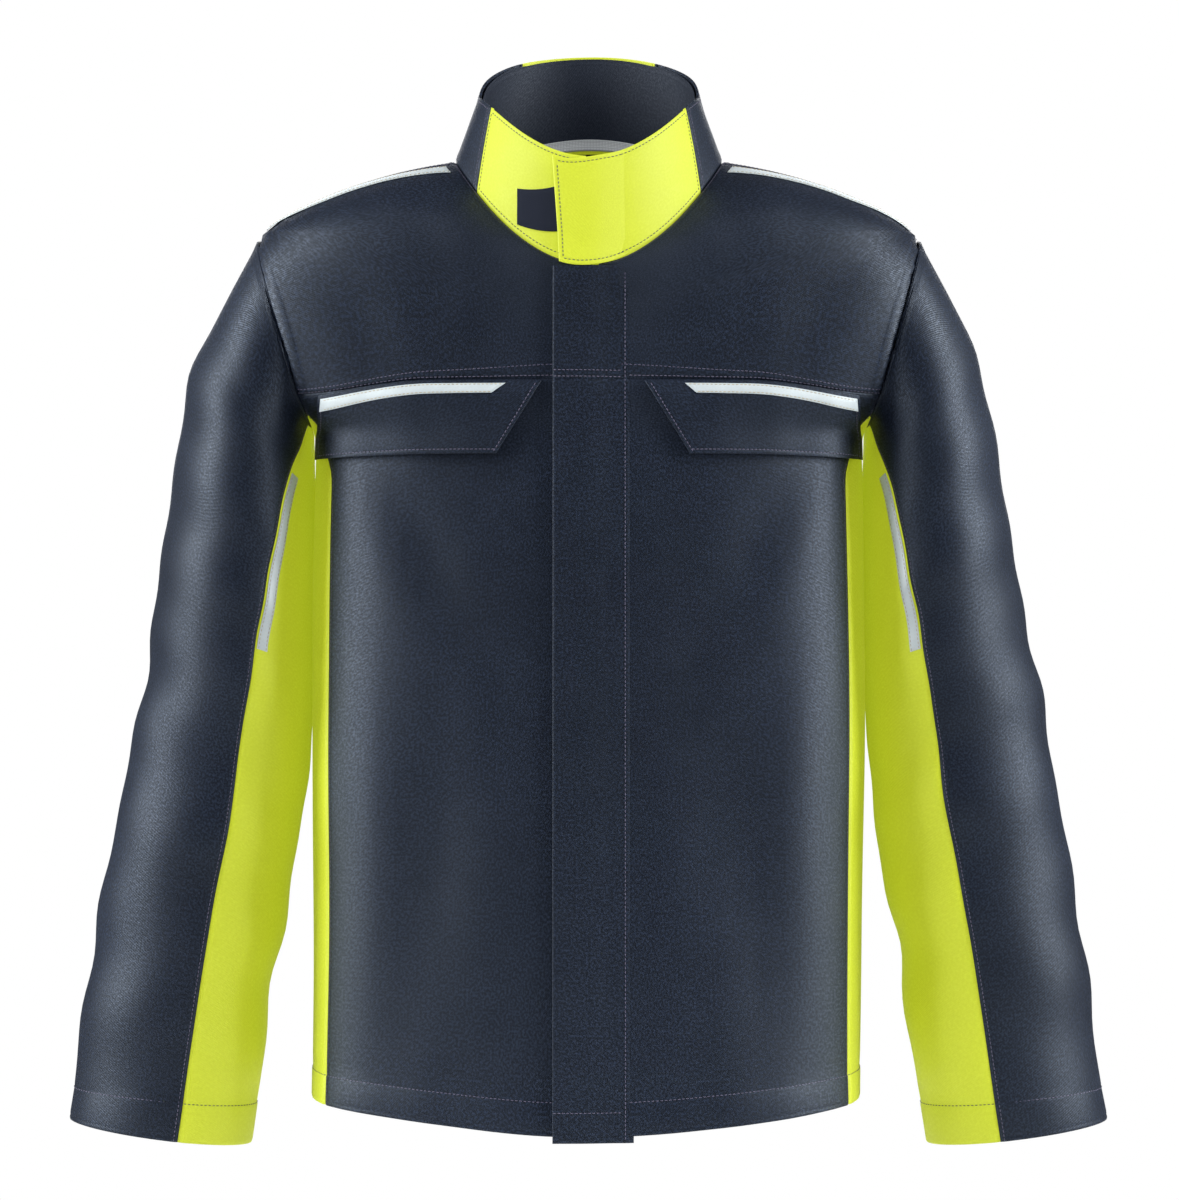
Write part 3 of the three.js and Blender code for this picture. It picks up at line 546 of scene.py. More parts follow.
# each on both sides of the coat: height, centre, direction, reach along it and reach across it
RIDGES = [
    (0.0030, (0.165, -0.085, -0.24), (0.6, 0, 1), 0.11, 0.022),
    (-0.0028, (0.13, -0.1, -0.25), (0.55, 0, 1), 0.12, 0.02),
    (0.0026, (0.14, 0.1, -0.27), (0.5, 0, 1), 0.13, 0.03),
    (-0.0022, (0.17, -0.085, -0.09), (0.5, 0, 1), 0.05, 0.018),
    (-0.0035, (0.12, -0.11, -0.52), (-0.25, 0, 1), 0.16, 0.035),
    (0.0040, (0.165, -0.1, -0.40), (0.05, 0, 1), 0.20, 0.022),
    (0.0030, (CHEST, 0.0, -0.31), (0, 0, 1), 0.15, 0.10),
]


def ripple(points):
    """Small random waves, longer down the cloth than across it."""
    return sum(size * np.sin(points @ rate + phase) for rate, phase, size in RIPPLES) / 4


def hump(points, centre, along, length, width):
    """A long soft ridge: 1 on its line, fading across it and at its ends."""
    along = unit(np.array(along, float))
    rest = points - np.array(centre, float)
    run = rest @ along
    across = np.linalg.norm(rest - run[..., None] * along, axis=-1)
    return np.exp(-((run / length) ** 2) - (across / width) ** 2)


def body_fold(points):
    angle = np.arctan2(points[..., 0], -points[..., 1])
    z = points[..., 2]
    low = smooth((-0.17 - z) / 0.4)
    calm = 1 - 0.85 * np.exp(-((points[..., 0] / 0.06) ** 2)) * (points[..., 1] < 0)
    wave = sum(size * np.sin(n * angle + phase + drift * z) / n for n, phase, drift, size in BODY_WAVES)
    lift = calm * (0.0085 * low * wave + 0.0011 * ripple(points) * smooth((0.02 - z) / 0.06))
    for flip in np.array([(-1, 1, 1), (1, 1, 1)]):
        for height, centre, along, length, width in RIDGES:
            lift = lift + height * hump(points, flip * centre, flip * along, length, width)
    return lift


def sleeve_fold(angle, s, side):
    mask = smooth((s - 0.05) / 0.12) * (1 - 0.75 * smooth((s - 0.8) / 0.2))
    wave = 0
    for rate, turns, phase, size in SLEEVE_WAVES:
        wave = wave + size * np.sin(rate * s + turns * angle + phase + side)
    broad = np.sin(9 * s + 1.4 * np.cos(angle + 0.6 * side) + side) * (0.6 + 0.4 * np.cos(angle - 1.2))
    elbow = 0.52 + 0.05 * np.sin(angle)
    crease = np.exp(-(((s - elbow) / 0.045) ** 2)) * np.maximum(0, np.sin(angle)) ** 2
    beside_body = smooth((-np.cos(angle) - 0.4) / 0.4) * (1 - smooth((s - 0.5) / 0.2))
    return mask * (1 - 0.85 * beside_body) * (0.0013 * wave + 0.0028 * broad - 0.0042 * crease)


# %% [markdown]
# A sewn panel is a grid between its seams. Near a seam the cloth turns down into the stitching and puffs
# up just beside it; along a topstitch it dips. The grid is fine there and coarse elsewhere. Solidify then
# gives the cloth its thickness, so free edges at hem, cuffs and flaps show it.

# %% The panel maker
CLOTH, BODY_CLOTH, COLLAR_CLOTH, DOUBLED, TRIM = 0.0011, 0.0016, 0.0018, 0.0014, 0.0006
# how far from an edge a line of stitches runs: twin lines, a single line, round a flap, on tape, on trim
TWIN, SINGLE, FLAP_LINE, TAPE_LINE, TRIM_LINE = (0.0016, 0.0062), 0.0028, 0.0034, 0.0012, 0.0014


def border_steps(length, step, fine):
    fine = np.array([d for d in fine if d < 0.4 * length]) / length
    count = max(2, round((1 - 2 * fine[-1]) * length / step))
    return np.unique(np.concatenate([fine, np.linspace(fine[-1], 1 - fine[-1], count), 1 - fine]))


def new_object(name, vertices, faces, uvs=None):
    mesh = bpy.data.meshes.new(name)
    mesh.from_pydata(np.asarray(vertices).tolist(), [], faces)
    if uvs is not None:
        layer = mesh.uv_layers.new(name="cloth")
        index = np.empty(len(mesh.loops), int)
        mesh.loops.foreach_get("vertex_index", index)
        layer.data.foreach_set("uv", np.asarray(uvs)[index].astype(np.float32).ravel())
    mesh.shade_smooth()
    piece = bpy.data.objects.new(name, mesh)
    bpy.context.scene.collection.objects.link(piece)
    return piece


def apply_modifiers(piece):
    bpy.ops.object.select_all(action="DESELECT")
    piece.select_set(True)
    bpy.context.view_layer.objects.active = piece
    for modifier in list(piece.modifiers):
        bpy.ops.object.modifier_apply(modifier=modifier.name)


# %% [markdown]
# A panel is placed by two shares, p across it and q up it. Its seams sink, its free edges stay round, and
# stitched lines dip. When it is sewn it gets its cloth, the body that it moves with, and its flat size.

# %% A sewn panel
def attach(piece, body_name):
    """Let a piece ride one body, or blend it between two: their names and where each one's share ends."""
    if isinstance(body_name, str):
        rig.ride(piece, body_name)
    else:
        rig.blend(piece, *body_name)


def dip(depth, distance, width):
    """A narrow round groove or ridge along a line."""
    return depth * np.exp(-((distance / width) ** 2))


class Panel:
    """place(p, q) gives points and normals; seams names the borders that are sewn down: l, r, b, t."""

    def __init__(self, name, place, seams="lrbt", fold=None, lift=0.0, step=0.007, cloth=CLOTH,
                 stitched=(), hem=None, roll=0.0008, backing=None, creases=()):
        self.backing, self.creases = backing, creases
        self.name, self.place, self.seams, self.fold, self.lift = name, place, seams, fold, lift
        self.stitched, self.hem, self.roll = stitched, hem, roll
        grid = np.linspace(0, 1, 25)
        sample = place(*np.meshgrid(grid, grid))[0]
        self.widths = np.linalg.norm(np.diff(sample, axis=1), axis=-1).sum(axis=1)
        self.heights = np.linalg.norm(np.diff(sample, axis=0), axis=-1).sum(axis=0)
        self.grid = grid
        fine = sorted({0, 0.0005, 0.0012, 0.0022, 0.0036, 0.0055}
                      | {d + e for d in stitched for e in (-0.0009, 0, 0.0009)}
                      | ({hem - 0.001, hem, hem + 0.001} if hem else set()))
        p = border_steps(self.widths.mean(), step, [d for d in fine if not hem or d < hem - 0.002])
        q = border_steps(self.heights.mean(), step, fine)
        near = np.array([-0.003, -0.0015, -0.0007, 0, 0.0007, 0.0015, 0.003]) / self.heights.mean()
        q = np.unique(np.concatenate([q] + [crease + near for crease in creases]))
        rows, columns = len(q), len(p)
        p, q = np.meshgrid(p, q)
        points, _ = self.surface(p, q)
        faces = []
        for j in range(rows - 1):
            for i in range(columns - 1):
                k = j * columns + i
                faces.append((k, k + 1, k + columns + 1, k + columns))
        normals = self.place(p, q)[1]
        j, i = rows // 2, columns // 2
        cross = np.cross(points[j, i + 1] - points[j, i], points[j + 1, i] - points[j, i])
        if np.dot(cross, normals[j, i]) < 0:
            faces = [face[::-1] for face in faces]
        uvs = np.stack([(p - 0.5) * self.widths.mean(), (q - 0.5) * self.heights.mean()], axis=-1)
        flat = points.reshape(-1, 3)
        self.area = self.measure(points)
        self.piece = new_object(name, flat, faces, uvs.reshape(-1, 2))
        solid = self.piece.modifiers.new("cloth", "SOLIDIFY")
        solid.thickness = cloth
        solid.offset = -1
        solid.material_offset = 1
        apply_modifiers(self.piece)

    def measure(self, points):
        across, up = np.diff(points, axis=1)[:-1], np.diff(points, axis=0)[:, :-1]
        return float(np.linalg.norm(np.cross(across, up), axis=-1).sum())

    def distance(self, p, q, sides):
        wide = np.interp(q, self.grid, self.widths)
        high = np.interp(p, self.grid, self.heights)
        each = {"l": p * wide, "r": (1 - p) * wide, "b": q * high, "t": (1 - q) * high}
        found = [each[side] for side in sides]
        return np.min(found, axis=0) if found else np.full(np.shape(p), 1.0)

    def offset(self, p, q):
        gap = self.distance(p, q, self.seams)
        lift = self.lift(p, q) if callable(self.lift) else self.lift
        lift = lift - self.roll * (1 - smooth(gap / 0.0024)) + dip(0.0003, gap - 0.0042, 0.003)
        free = self.distance(p, q, [side for side in "lrbt" if side not in self.seams])
        lift = lift - 0.0003 * (1 - smooth(free / 0.0014))
        for line in self.stitched:
            edge = self.distance(p, q, "lrbt")
            lift = lift - dip(0.00022, edge - line, 0.0008)
        for crease in self.creases:
            along = (q - crease) * np.interp(p, self.grid, self.heights)
            lift = lift - dip(0.0010, along, 0.0010) - 0.0003 * smooth((along + 0.0004) / 0.0008)
        if self.hem:
            low = self.distance(p, q, "b")
            lift = lift + 0.0006 * (1 - smooth((low - self.hem + 0.001) / 0.002))
            lift = lift - dip(0.0004, low - self.hem, 0.0012)
        return lift

    def surface(self, p, q, extra=0.0):
        points, normals = self.place(p, q)
        raised = self.offset(p, q) + extra
        if self.fold is not None:
            raised = raised + self.fold(points, p, q)
        return points + normals * raised[..., None], normals

    def sewn(self, material, body_name, *nodes):
        """Finish the piece: its cloth, the nodes it stands for, what it moves with and its flat size."""
        for finish in (material, self.backing or material):
            self.piece.data.materials.append(finish)
        width, length = float(self.widths.max()), float(self.heights.max())
        if nodes:
            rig.replaces(self.piece, *nodes)
        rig.slot(self.piece, SLOTS[material.name])
        attach(self.piece, body_name)
        flat = (max(0.01, round(width, 4)), max(0.01, round(length, 4)))
        whole = flat[0] * flat[1]
        area = max(0.31 * whole, min(self.area, width * length, whole))
        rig.sheet(self.piece, flat=flat, held="hung", area=area)
        print(self.name, "flat", flat, "area", round(area, 5))
        return self


# %% [markdown]
# Places for panels: a route between two edges of the body, the same place mirrored to the other side, and
# a straight seam, found as the height share where the surface reaches one height.

# %% Places on the body
def on_body(points, p, q):
    return body_fold(points)


def mirrored(place, side):
    """The same place on the wearer's left (side 1) or right (side -1)."""
    def placed(p, q):
        points, normals = place(p, q)
        flip = np.array([side, 1, 1])
        return points * flip, normals * flip

    return placed


def on_surface(surface, route):
    def placed(p, q):
        angle, v = route(np.asarray(p, float), np.asarray(q, float))
        return surface.point(angle, v), surface.normal(angle, v)

    return placed


def between(inner, outer, low, high):
    """A route between two edge angles, from one height share to another; either may depend on p."""
    def route(p, q):
        v_low = low(p) if callable(low) else low
        v_high = high(p) if callable(high) else high
        v = mix(v_low, v_high, q)
        return mix(inner(v), outer(v), p), v

    return route


def yoke_drop(x):
    """The yoke seam curves down towards the arm."""
    return -0.0085 * smooth((np.abs(x) - 0.115) / 0.095)


def grid_reader(values):
    """Values worked out on an even grid over a piece, read in between."""
    rows, columns = values.shape[0] - 1, values.shape[1] - 1

    def at(p, q):
        i, j = np.clip(p * columns, 0, columns - 1e-4), np.clip(q * rows, 0, rows - 1e-4)
        i0, j0 = i.astype(int), j.astype(int)
        low = mix(values[j0, i0], values[j0, i0 + 1], i - i0)
        return mix(low, mix(values[j0 + 1, i0], values[j0 + 1, i0 + 1], i - i0), j - j0)

    return at


def share_at_z(inner, outer, z, drop=lambda x: 0, low=0.0, high=1.0):
    """For each p, the height share where the route between two edges has height z."""
    def level(points):
        return points[..., 2] - drop(points[..., 0])

    flat = np.linspace(0, 1, 161)
    found = halving(np.full_like(flat, low), np.full_like(flat, high),
                    lambda v: level(body.point(mix(inner(v), outer(v), flat), v)) < z, 26)
    return lambda p: np.interp(p, flat, found)


# %% [markdown]
# Twill is the hard part of the look. Fine diagonal ribs, a fleck of lighter fibre that also stands in for fibres
# catching the light (painted glints), and a slow change of tone over the whole garment are mixed into the colour;
# the ribs and fleck also feed the bump. The sheen that cotton twill has at grazing light is set on the shader itself.

# %% Shader helper
class Wire:
    """A shader socket that can be used in sums: each operator adds one Math node."""

    def __init__(self, tree, socket):
        self.tree, self.socket = tree, socket

    def join(self, operation, other, swapped=False):
        node = self.tree.nodes.new("ShaderNodeMath")
        node.operation = operation
        values = (other, self) if swapped else (self, other)
        for slot, value in zip(node.inputs, values):
            connect(self.tree, value, slot)
        return Wire(self.tree, node.outputs[0])

    def __add__(self, other):
        return self.join("ADD", other)

    __radd__ = __add__

    def __sub__(self, other):
        return self.join("SUBTRACT", other)

    def __rsub__(self, other):
        return self.join("SUBTRACT", other, True)

    def __mul__(self, other):
        return self.join("MULTIPLY", other)

    __rmul__ = __mul__


def connect(tree, value, slot):
    if isinstance(value, Wire):
        tree.links.new(value.socket, slot)
    elif value is not None:
        slot.default_value = value


class Finish:
    """A material with one Principled shader, and one method that adds any other node."""

    def __init__(self, name, **constants):
        self.material = bpy.data.materials.new(name)
        self.material.use_nodes = True
        self.tree = self.material.node_tree
        self.shader = self.tree.nodes["Principled BSDF"]
        for key, value in constants.items():
            socket = key.replace("_", " ").title().replace("Ior", "IOR")
            self.shader.inputs[socket].default_value = value

    def node(self, kind, settings=None, output=0, **inputs):
        node = self.tree.nodes.new("ShaderNode" + kind)
        for key, value in (settings or {}).items():
            setattr(node, key, value)
        for key, value in inputs.items():
            numbered = key[0] == "i" and key[1:].isdigit()
            slot = node.inputs[int(key[1:]) if numbered else key]
            connect(self.tree, value, slot)
        return Wire(self.tree, node.outputs[output])

    def feed(self, **inputs):
        for key, value in inputs.items():
            connect(self.tree, value, self.shader.inputs[key.replace("_", " ")])
        return self.material

    def blend(self, share, low, high):
        return self.node("Mix", {"data_type": "RGBA"}, 2, i0=share, i6=low, i7=high)

    def cloth_place(self, across, along, turn=0.0):
        uv = self.node("UVMap", {"uv_map": "cloth"})
        return self.node("Mapping", Vector=uv, Scale=(across, along, 1), Rotation=(0, 0, turn))

    def noise(self, place, scale, detail=2.0):
        return self.node("TexNoise", Vector=place, Scale=scale, Detail=detail, Roughness=0.6)


def twill(name, deep, light, fleck_and_glint, rough, sheen, sheen_tint, slow_dark, gloss, gleam):
    """Ribs, streaks and flecks of two tones, the flecks partly fibre and partly painted glints, with a slow change of
    tone over the whole garment.
    """
    finish = Finish(name, sheen_weight=sheen, sheen_roughness=0.45, sheen_tint=sheen_tint,
                    specular_ior_level=gloss, specular_tint=gleam)
    turned = finish.cloth_place(1, 1, math.radians(63))
    ribs = finish.node("TexWave", {"wave_type": "BANDS", "bands_direction": "X"}, 1, Vector=turned,
                       Scale=330.0, Distortion=1.2, Detail=1.0)
    plain = finish.cloth_place(1, 1)
    grain = finish.noise(plain, 900.0, 3.0)
    streak = finish.noise(finish.cloth_place(1100, 260), 1.0, 2.0)
    place = finish.node("TexCoord", output=3)
    slow = finish.noise(place, 5.5, 3.0)
    mottle = finish.noise(place, 38.0, 2.0)
    # lighter fibre flecks that also stand for fibres catching the light, so partly painted glints in the colour
    speck_and_glint = finish.node("MapRange", Value=finish.noise(plain, 560.0, 4.0), i1=0.42, i2=0.70)
    level = ribs * 0.15 + speck_and_glint * fleck_and_glint + streak * 0.2 + (mottle - 0.5) * 0.3 + (0.118 - 0.28 * fleck_and_glint)
    colour = finish.blend(level, (*deep, 1), (*light, 1))
    shade = finish.node("MapRange", Value=slow, i1=0.35, i2=0.68)
    colour = finish.blend(shade, colour, finish.blend(slow_dark, colour, (*[c * 0.7 for c in deep], 1)))
    height = ribs * 0.6 + grain * 0.7 + streak * 0.3
    bump = finish.node("Bump", Strength=0.55, Distance=0.0003, Height=height)
    roughness = rough + (0.5 - speck_and_glint) * 0.16 + (mottle - 0.5) * 0.1
    return finish.feed(Base_Color=colour, Roughness=roughness, Normal=bump)


# %% [markdown]
# Three twills come from one recipe: the outer navy, which shines a little where the light grazes it, the
# fluorescent yellow, which has a painted glow: a faint emission that lifts it where it lies in shade, and the lining.

# %% Cloth finishes
navy = twill("navy twill", (0.0010, 0.0020, 0.0060), (0.0135, 0.0205, 0.040), 1.7, 0.47, 0.015,
             (0.55, 0.62, 0.8, 1), 0.40, 0.40, (0.70, 0.83, 1.0, 1))
yellow = twill("yellow twill", (0.33, 0.37, 0.010), (0.43, 0.485, 0.022), 0.45, 0.52, 0.06,
               (1.0, 1.0, 0.6, 1), 0.06, 0.5, (1, 1, 1, 1))
# painted glow: a constant emission that brightens the yellow cloth on its shaded sides, though it is no lamp
yellow_painted_glow = yellow.node_tree.nodes["Principled BSDF"]
yellow_painted_glow.inputs["Emission Color"].default_value = (0.55, 0.64, 0.02, 1)
yellow_painted_glow.inputs["Emission Strength"].default_value = 0.34
lining = twill("dark lining", (0.005, 0.007, 0.013), (0.02, 0.025, 0.038), 0.6, 0.6, 0.06,
               (0.6, 0.65, 0.8, 1), 0.4, 0.3, (0.75, 0.85, 1.0, 1))
print("cloth finishes", [m.name for m in (navy, yellow, lining)])

# %% [markdown]
# Reflective tape is a grey film of tiny glass beads, lighter and smoother than cloth, with a faint pebble.
# Touch fastener is matt and dense; webbing shows a coarse plain weave; metal is worn satin.

# %% Trim finishes
def reflective_finish():
    finish = Finish("reflective tape", specular_ior_level=0.6, metallic=0.15)
    place = finish.cloth_place(1, 1)
    beads = finish.node("TexVoronoi", Vector=place, Scale=1500.0)
    cloud = finish.noise(place, 60.0)
    colour = finish.blend(cloud * 0.7 + beads * 0.3, (0.40, 0.455, 0.475, 1), (0.56, 0.615, 0.635, 1))
    bump = finish.node("Bump", Strength=0.2, Distance=0.0002, Height=beads)
    return finish.feed(Base_Color=colour, Roughness=0.36 + cloud * 0.15, Normal=bump)


def touch_finish():
    finish = Finish("touch fastener", specular_ior_level=0.1, sheen_weight=0.05, sheen_roughness=0.6)
    fuzz = finish.noise(finish.cloth_place(1, 1), 1600.0, 4.0)
    colour = finish.blend(fuzz, (0.003, 0.005, 0.011, 1), (0.014, 0.018, 0.032, 1))
    bump = finish.node("Bump", Strength=0.8, Distance=0.0006, Height=fuzz)
    return finish.feed(Base_Color=colour, Roughness=0.85 + fuzz * 0.1, Normal=bump)


def webbing_finish(name, deep, light):
    finish = Finish(name, specular_ior_level=0.3, sheen_weight=0.2, sheen_roughness=0.5)
    place = finish.cloth_place(1, 1)
    weft = finish.node("TexWave", {"wave_type": "BANDS", "bands_direction": "X"}, 1, Vector=place,
                       Scale=230.0, Distortion=0.4)
    warp = finish.node("TexWave", {"wave_type": "BANDS", "bands_direction": "Y"}, 1, Vector=place,
                       Scale=230.0, Distortion=0.4)
    weave = weft * warp
    colour = finish.blend(weave, (*deep, 1), (*light, 1))
    bump = finish.node("Bump", Strength=0.6, Distance=0.0004, Height=weave)
    return finish.feed(Base_Color=colour, Roughness=0.75 + weave * 0.1, Normal=bump)


def metal_finish():
    finish = Finish("zip metal", metallic=0.9)
    place = finish.node("TexCoord", output=3)
    wear = finish.noise(place, 420.0, 4.0)
    brushed = finish.noise(finish.node("Mapping", Vector=place, Scale=(2600, 2600, 120)), 1.0)
    colour = finish.blend(wear, (0.20, 0.205, 0.215, 1), (0.46, 0.465, 0.47, 1))
    bump = finish.node("Bump", Strength=0.15, Distance=0.0001, Height=brushed)
    return finish.feed(Base_Color=colour, Roughness=0.3 + wear * 0.25, Normal=bump)


def thread_finish(name, deep, light):
    finish = Finish(name, specular_ior_level=0.35, sheen_weight=0.2)
    ply = finish.noise(finish.node("TexCoord", output=3), 2500.0)
    return finish.feed(Base_Color=finish.blend(ply, (*deep, 1), (*light, 1)), Roughness=0.6 + ply * 0.2)


reflective, touch, metal = reflective_finish(), touch_finish(), metal_finish()
grey_tape = webbing_finish("grey webbing", (0.34, 0.36, 0.375), (0.60, 0.62, 0.63))
zip_cloth = webbing_finish("zip tape", (0.008, 0.010, 0.018), (0.028, 0.033, 0.05))
label_cloth = webbing_finish("blank label", (0.62, 0.62, 0.58), (0.82, 0.82, 0.78))
dark_thread = thread_finish("dark thread", (0.010, 0.013, 0.03), (0.035, 0.04, 0.075))
navy_thread = thread_finish("blue thread", (0.036, 0.034, 0.068), (0.10, 0.09, 0.15))
beige_thread = thread_finish("beige thread", (0.30, 0.25, 0.16), (0.50, 0.43, 0.30))
# thread and teeth share the slot of the cloth that they are set in
SLOTS = {finish.name: slot for slot, finishes in {
    "navy_twill": (navy, navy_thread), "yellow_twill": (yellow, dark_thread), "navy_lining": (lining,),
    "touch_fastener": (touch,), "reflective_tape": (reflective, beige_thread), "grey_webbing": (grey_tape,),
    "zip_cloth": (zip_cloth, metal), "blank_label": (label_cloth,)}.items() for finish in finishes}
print("slots", sorted(set(SLOTS.values())))

# %% [markdown]
# Topstitching gives a garment its scale. One stitch is a small grain of thread, made once; it is laid
# along each seam at an even pitch, sunk a little into the dip that the panel has there.

# %% Stitches
STITCH, PITCH, THREAD_WIDE, THREAD_TALL, THREAD_UP = 0.0023, 0.0031, 0.00032, 0.00024, 0.00016


def tube_faces(rings, sides):
    """Four-sided faces between the rings of a tube."""
    around = [(k, (k + 1) % sides) for k in range(sides)]
    return [(r + a, r + b, r + b + sides, r + a + sides)
            for r in range(0, (rings - 1) * sides, sides) for a, b in around]


def grain_shape(sides=6):
    """A grain of thread: a flattened tube that closes at both ends."""
    x, size = np.array([(-0.5, 0.0), (-0.3, 0.8), (0.0, 1.0), (0.3, 0.8), (0.5, 0.0)]).T[..., None]
    turn = TURN * np.arange(sides) / sides
    shape = [x * STITCH + 0 * turn, THREAD_WIDE * size * np.cos(turn), THREAD_TALL * size * np.sin(turn)]
    return np.stack(shape, axis=-1).reshape(-1, 3), np.array(tube_faces(len(x), sides))


GRAIN, GRAIN_FACES = grain_shape()


def closed_object(name, vertices, faces, material):
    """Small closed shapes as one piece: their poles merged, their faces turned outwards."""
    piece = new_object(name, vertices, faces)
    shape = bmesh.new()
    shape.from_mesh(piece.data)
    bmesh.ops.remove_doubles(shape, verts=shape.verts, dist=1e-7)
    bmesh.ops.recalc_face_normals(shape, faces=shape.faces)
    shape.to_mesh(piece.data)
    shape.free()
    piece.data.materials.append(material)
    return piece


def stitch_line(points, normals):
    """Stitch vertices along a line of points."""
    run = np.concatenate([[0], np.cumsum(np.linalg.norm(np.diff(points, axis=0), axis=1))])
    if run[-1] < 2 * PITCH:
        return np.zeros((0, 3))
    at = np.arange(PITCH / 2, run[-1] - PITCH / 2, PITCH)

    def along_line(where, values):
        return np.stack([np.interp(where, run, column) for column in values.T], axis=1)

    centre, up = along_line(at, points), unit(along_line(at, normals))
    along = unit(along_line(at + 0.001, points) - along_line(at - 0.001, points))
    across = unit(np.cross(up, along))
    frame_axes = np.stack([along, across, up], axis=1)
    return (centre[:, None, :] + np.einsum("gk,nkj->ngj", GRAIN, frame_axes)).reshape(-1, 3)


def edge_line(panel, side, distance, start=0.0, end=1.0, count=240):
    """A line on a panel that keeps its distance from one border."""
    t = np.linspace(start, end, count)
    if side in "bt":
        share = distance / np.interp(t, panel.grid, panel.heights)
        p, q = t, share if side == "b" else 1 - share
    else:
        share = distance / np.interp(t, panel.grid, panel.widths)
        p, q = (share if side == "l" else 1 - share), t
    return panel.surface(p, q, THREAD_UP)


def sew(name, lines, thread, body_name):
    """One object that holds the stitches of several lines."""
    shapes = [stitch_line(points, normals) for points, normals in lines]
    vertices = np.concatenate([s for s in shapes if len(s)])
    count = len(vertices) // len(GRAIN)
    shift = np.arange(count)[:, None, None] * len(GRAIN)
    faces = (GRAIN_FACES[None] + shift).reshape(-1, 4).tolist()
    piece = closed_object(name, vertices, faces, thread)
    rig.slot(piece, SLOTS[thread.name])
    attach(piece, body_name)
    print(name, count, "stitches")
    return piece


SIDES = (("right", -1), ("left", 1))

# %% [markdown]
# The body's panels: two fronts with yokes, two yellow side panels, a back with its yoke. The front panels
# hang from the yoke seam, and every panel ends at the hem in a folded band with a stitched line above it.

# %% Body panels
HEM_BAND = 0.0215
zip_edge = tabled(lambda v: front_angle(v, lambda points: points[..., 0] < FRONT_EDGE_X))


def body_place(inner, outer, low, high):
    return on_surface(body, between(inner, outer, low, high))


def around_back(v):
    return TURN - back_edge(v)


yoke_share = share_at_z(zip_edge, front_edge, YOKE_FRONT_Z, yoke_drop)
back_share = share_at_z(back_edge, around_back, YOKE_BACK_Z)
across_side = np.linspace(0, 1, 61)
side_tops = into_armhole(lambda v: mix(front_side(v), back_side(v), across_side),
                         np.full(61, ARMPIT_V - 0.01))


def side_top(p):
    return np.interp(p, across_side, side_tops)


def body_panel(key, name, route, sign, seams, **cut):
    """A piece of the body's own cloth, backed with lining; its route runs over the body's surface."""
    place = mirrored(body_place(*route), sign)
    panels[key] = Panel(name, place, seams=seams, fold=on_body, cloth=BODY_CLOTH, backing=lining, **cut)


panels = {}
for name, side in SIDES:
    body_panel("front_" + name, "front_panel_cloth_" + name, (zip_edge, front_edge, 0.0, yoke_share), side,
               "rt", step=0.011, stitched=(SINGLE,), hem=HEM_BAND)
    body_panel("yoke_" + name, "front_yoke_cloth_" + name, (zip_edge, front_edge, yoke_share, 1.0), side,
               "rbt", step=0.009, stitched=TWIN)
    body_panel("side_" + name, "side_panel_cloth_" + name, (front_side, back_side, 0.0, side_top), side,
               "lrt", step=0.011, hem=HEM_BAND)
body_panel("back", "back_panel_cloth", (back_edge, around_back, 0.0, back_share), 1,
           "lrt", step=0.012, stitched=(SINGLE,), hem=HEM_BAND)
body_panel("back_yoke", "back_yoke_cloth", (back_edge, around_back, back_share, 1.0), 1,
           "lrbt", step=0.009, stitched=TWIN)
for name, _ in SIDES:
    panels["front_" + name].sewn(navy, "coat_shell", "front_panel_" + name)
    panels["yoke_" + name].sewn(navy, "coat_shell", "front_yoke_" + name)
    panels["side_" + name].sewn(yellow, "coat_shell", "side_panel_" + name)
panels["back"].sewn(navy, "coat_shell", "back_panel")
panels["back_yoke"].sewn(navy, "coat_shell", "back_yoke")

# %% [markdown]
# Each sleeve is cut in two: a wide navy outer and a narrow yellow inner that shows from the front. Both
# are sewn into the armhole, so they are blended: the first few centimetres stay with the shoulder and the
# rest swings with the arm.

# %% Sleeves
SLEEVE_BAND = 0.022


def sleeve_blend(name, side):
    start = arm_centre + arm_out * 0.004
    end = arm_centre + arm_out * 0.046
    flip = np.array([side, 1, 1])
    return "coat_shell", "sleeve_" + name, tuple(start * flip), tuple(end * flip)


def sleeve_place(start_angle, end_angle, near, far, side):
    def placed(p, q):
        s = mix(far, near, q)
        angle = mix(start_angle(s), end_angle(s), p)
        points, normals = sleeve_point(angle, s), sleeve_normal(angle, s)
        points = points + normals * sleeve_fold(angle, s, side)[..., None]
        flip = np.array([side, 1, 1])
        return points * flip, normals * flip

    return placed


def seam_after(s):
    return TURN - sleeve_seam(s)


def seam_before(s):
    return -sleeve_seam(s)


for name, side in SIDES:
    for part, edges, material, stitched in (("outer", (seam_before, sleeve_seam), navy, (SINGLE,)),
                                            ("inner", (sleeve_seam, seam_after), yellow, ())):
        place = sleeve_place(*edges, 0.0, 1.0, side)
        piece = Panel("sleeve_%s_cloth_%s" % (part, name), place, seams="lrt", step=0.008,
                      cloth=BODY_CLOTH, stitched=stitched, hem=SLEEVE_BAND, backing=lining)
        node = "sleeve_%s_%s" % (part, name)
        panels[node] = piece.sewn(material, sleeve_blend(name, side), node)

# %% [markdown]
# The stand-up collar is a band of five panels with a lining, closed by a tab of yellow cloth that folds
# over from the wearer's left and grips a loop patch on the right.

# %% Collar
COLLAR_BACK_SEAM = math.radians(141)


def collar_seam(v):
    return np.radians(mix(55, 62, np.asarray(v, float)))


def collar_fold(points, p, q):
    angle = np.arctan2(points[..., 0], -points[..., 1])
    rise = np.clip((points[..., 2] - NECK_SIDE_Z) / COLLAR_HEIGHT, 0, 1)
    return 0.0009 * np.sin(4 * angle + 0.8) * (0.3 + rise) * (1 - np.exp(-((angle / 0.5) ** 2)))


def steady(angle):
    return lambda v: np.full_like(np.asarray(v, float), angle)


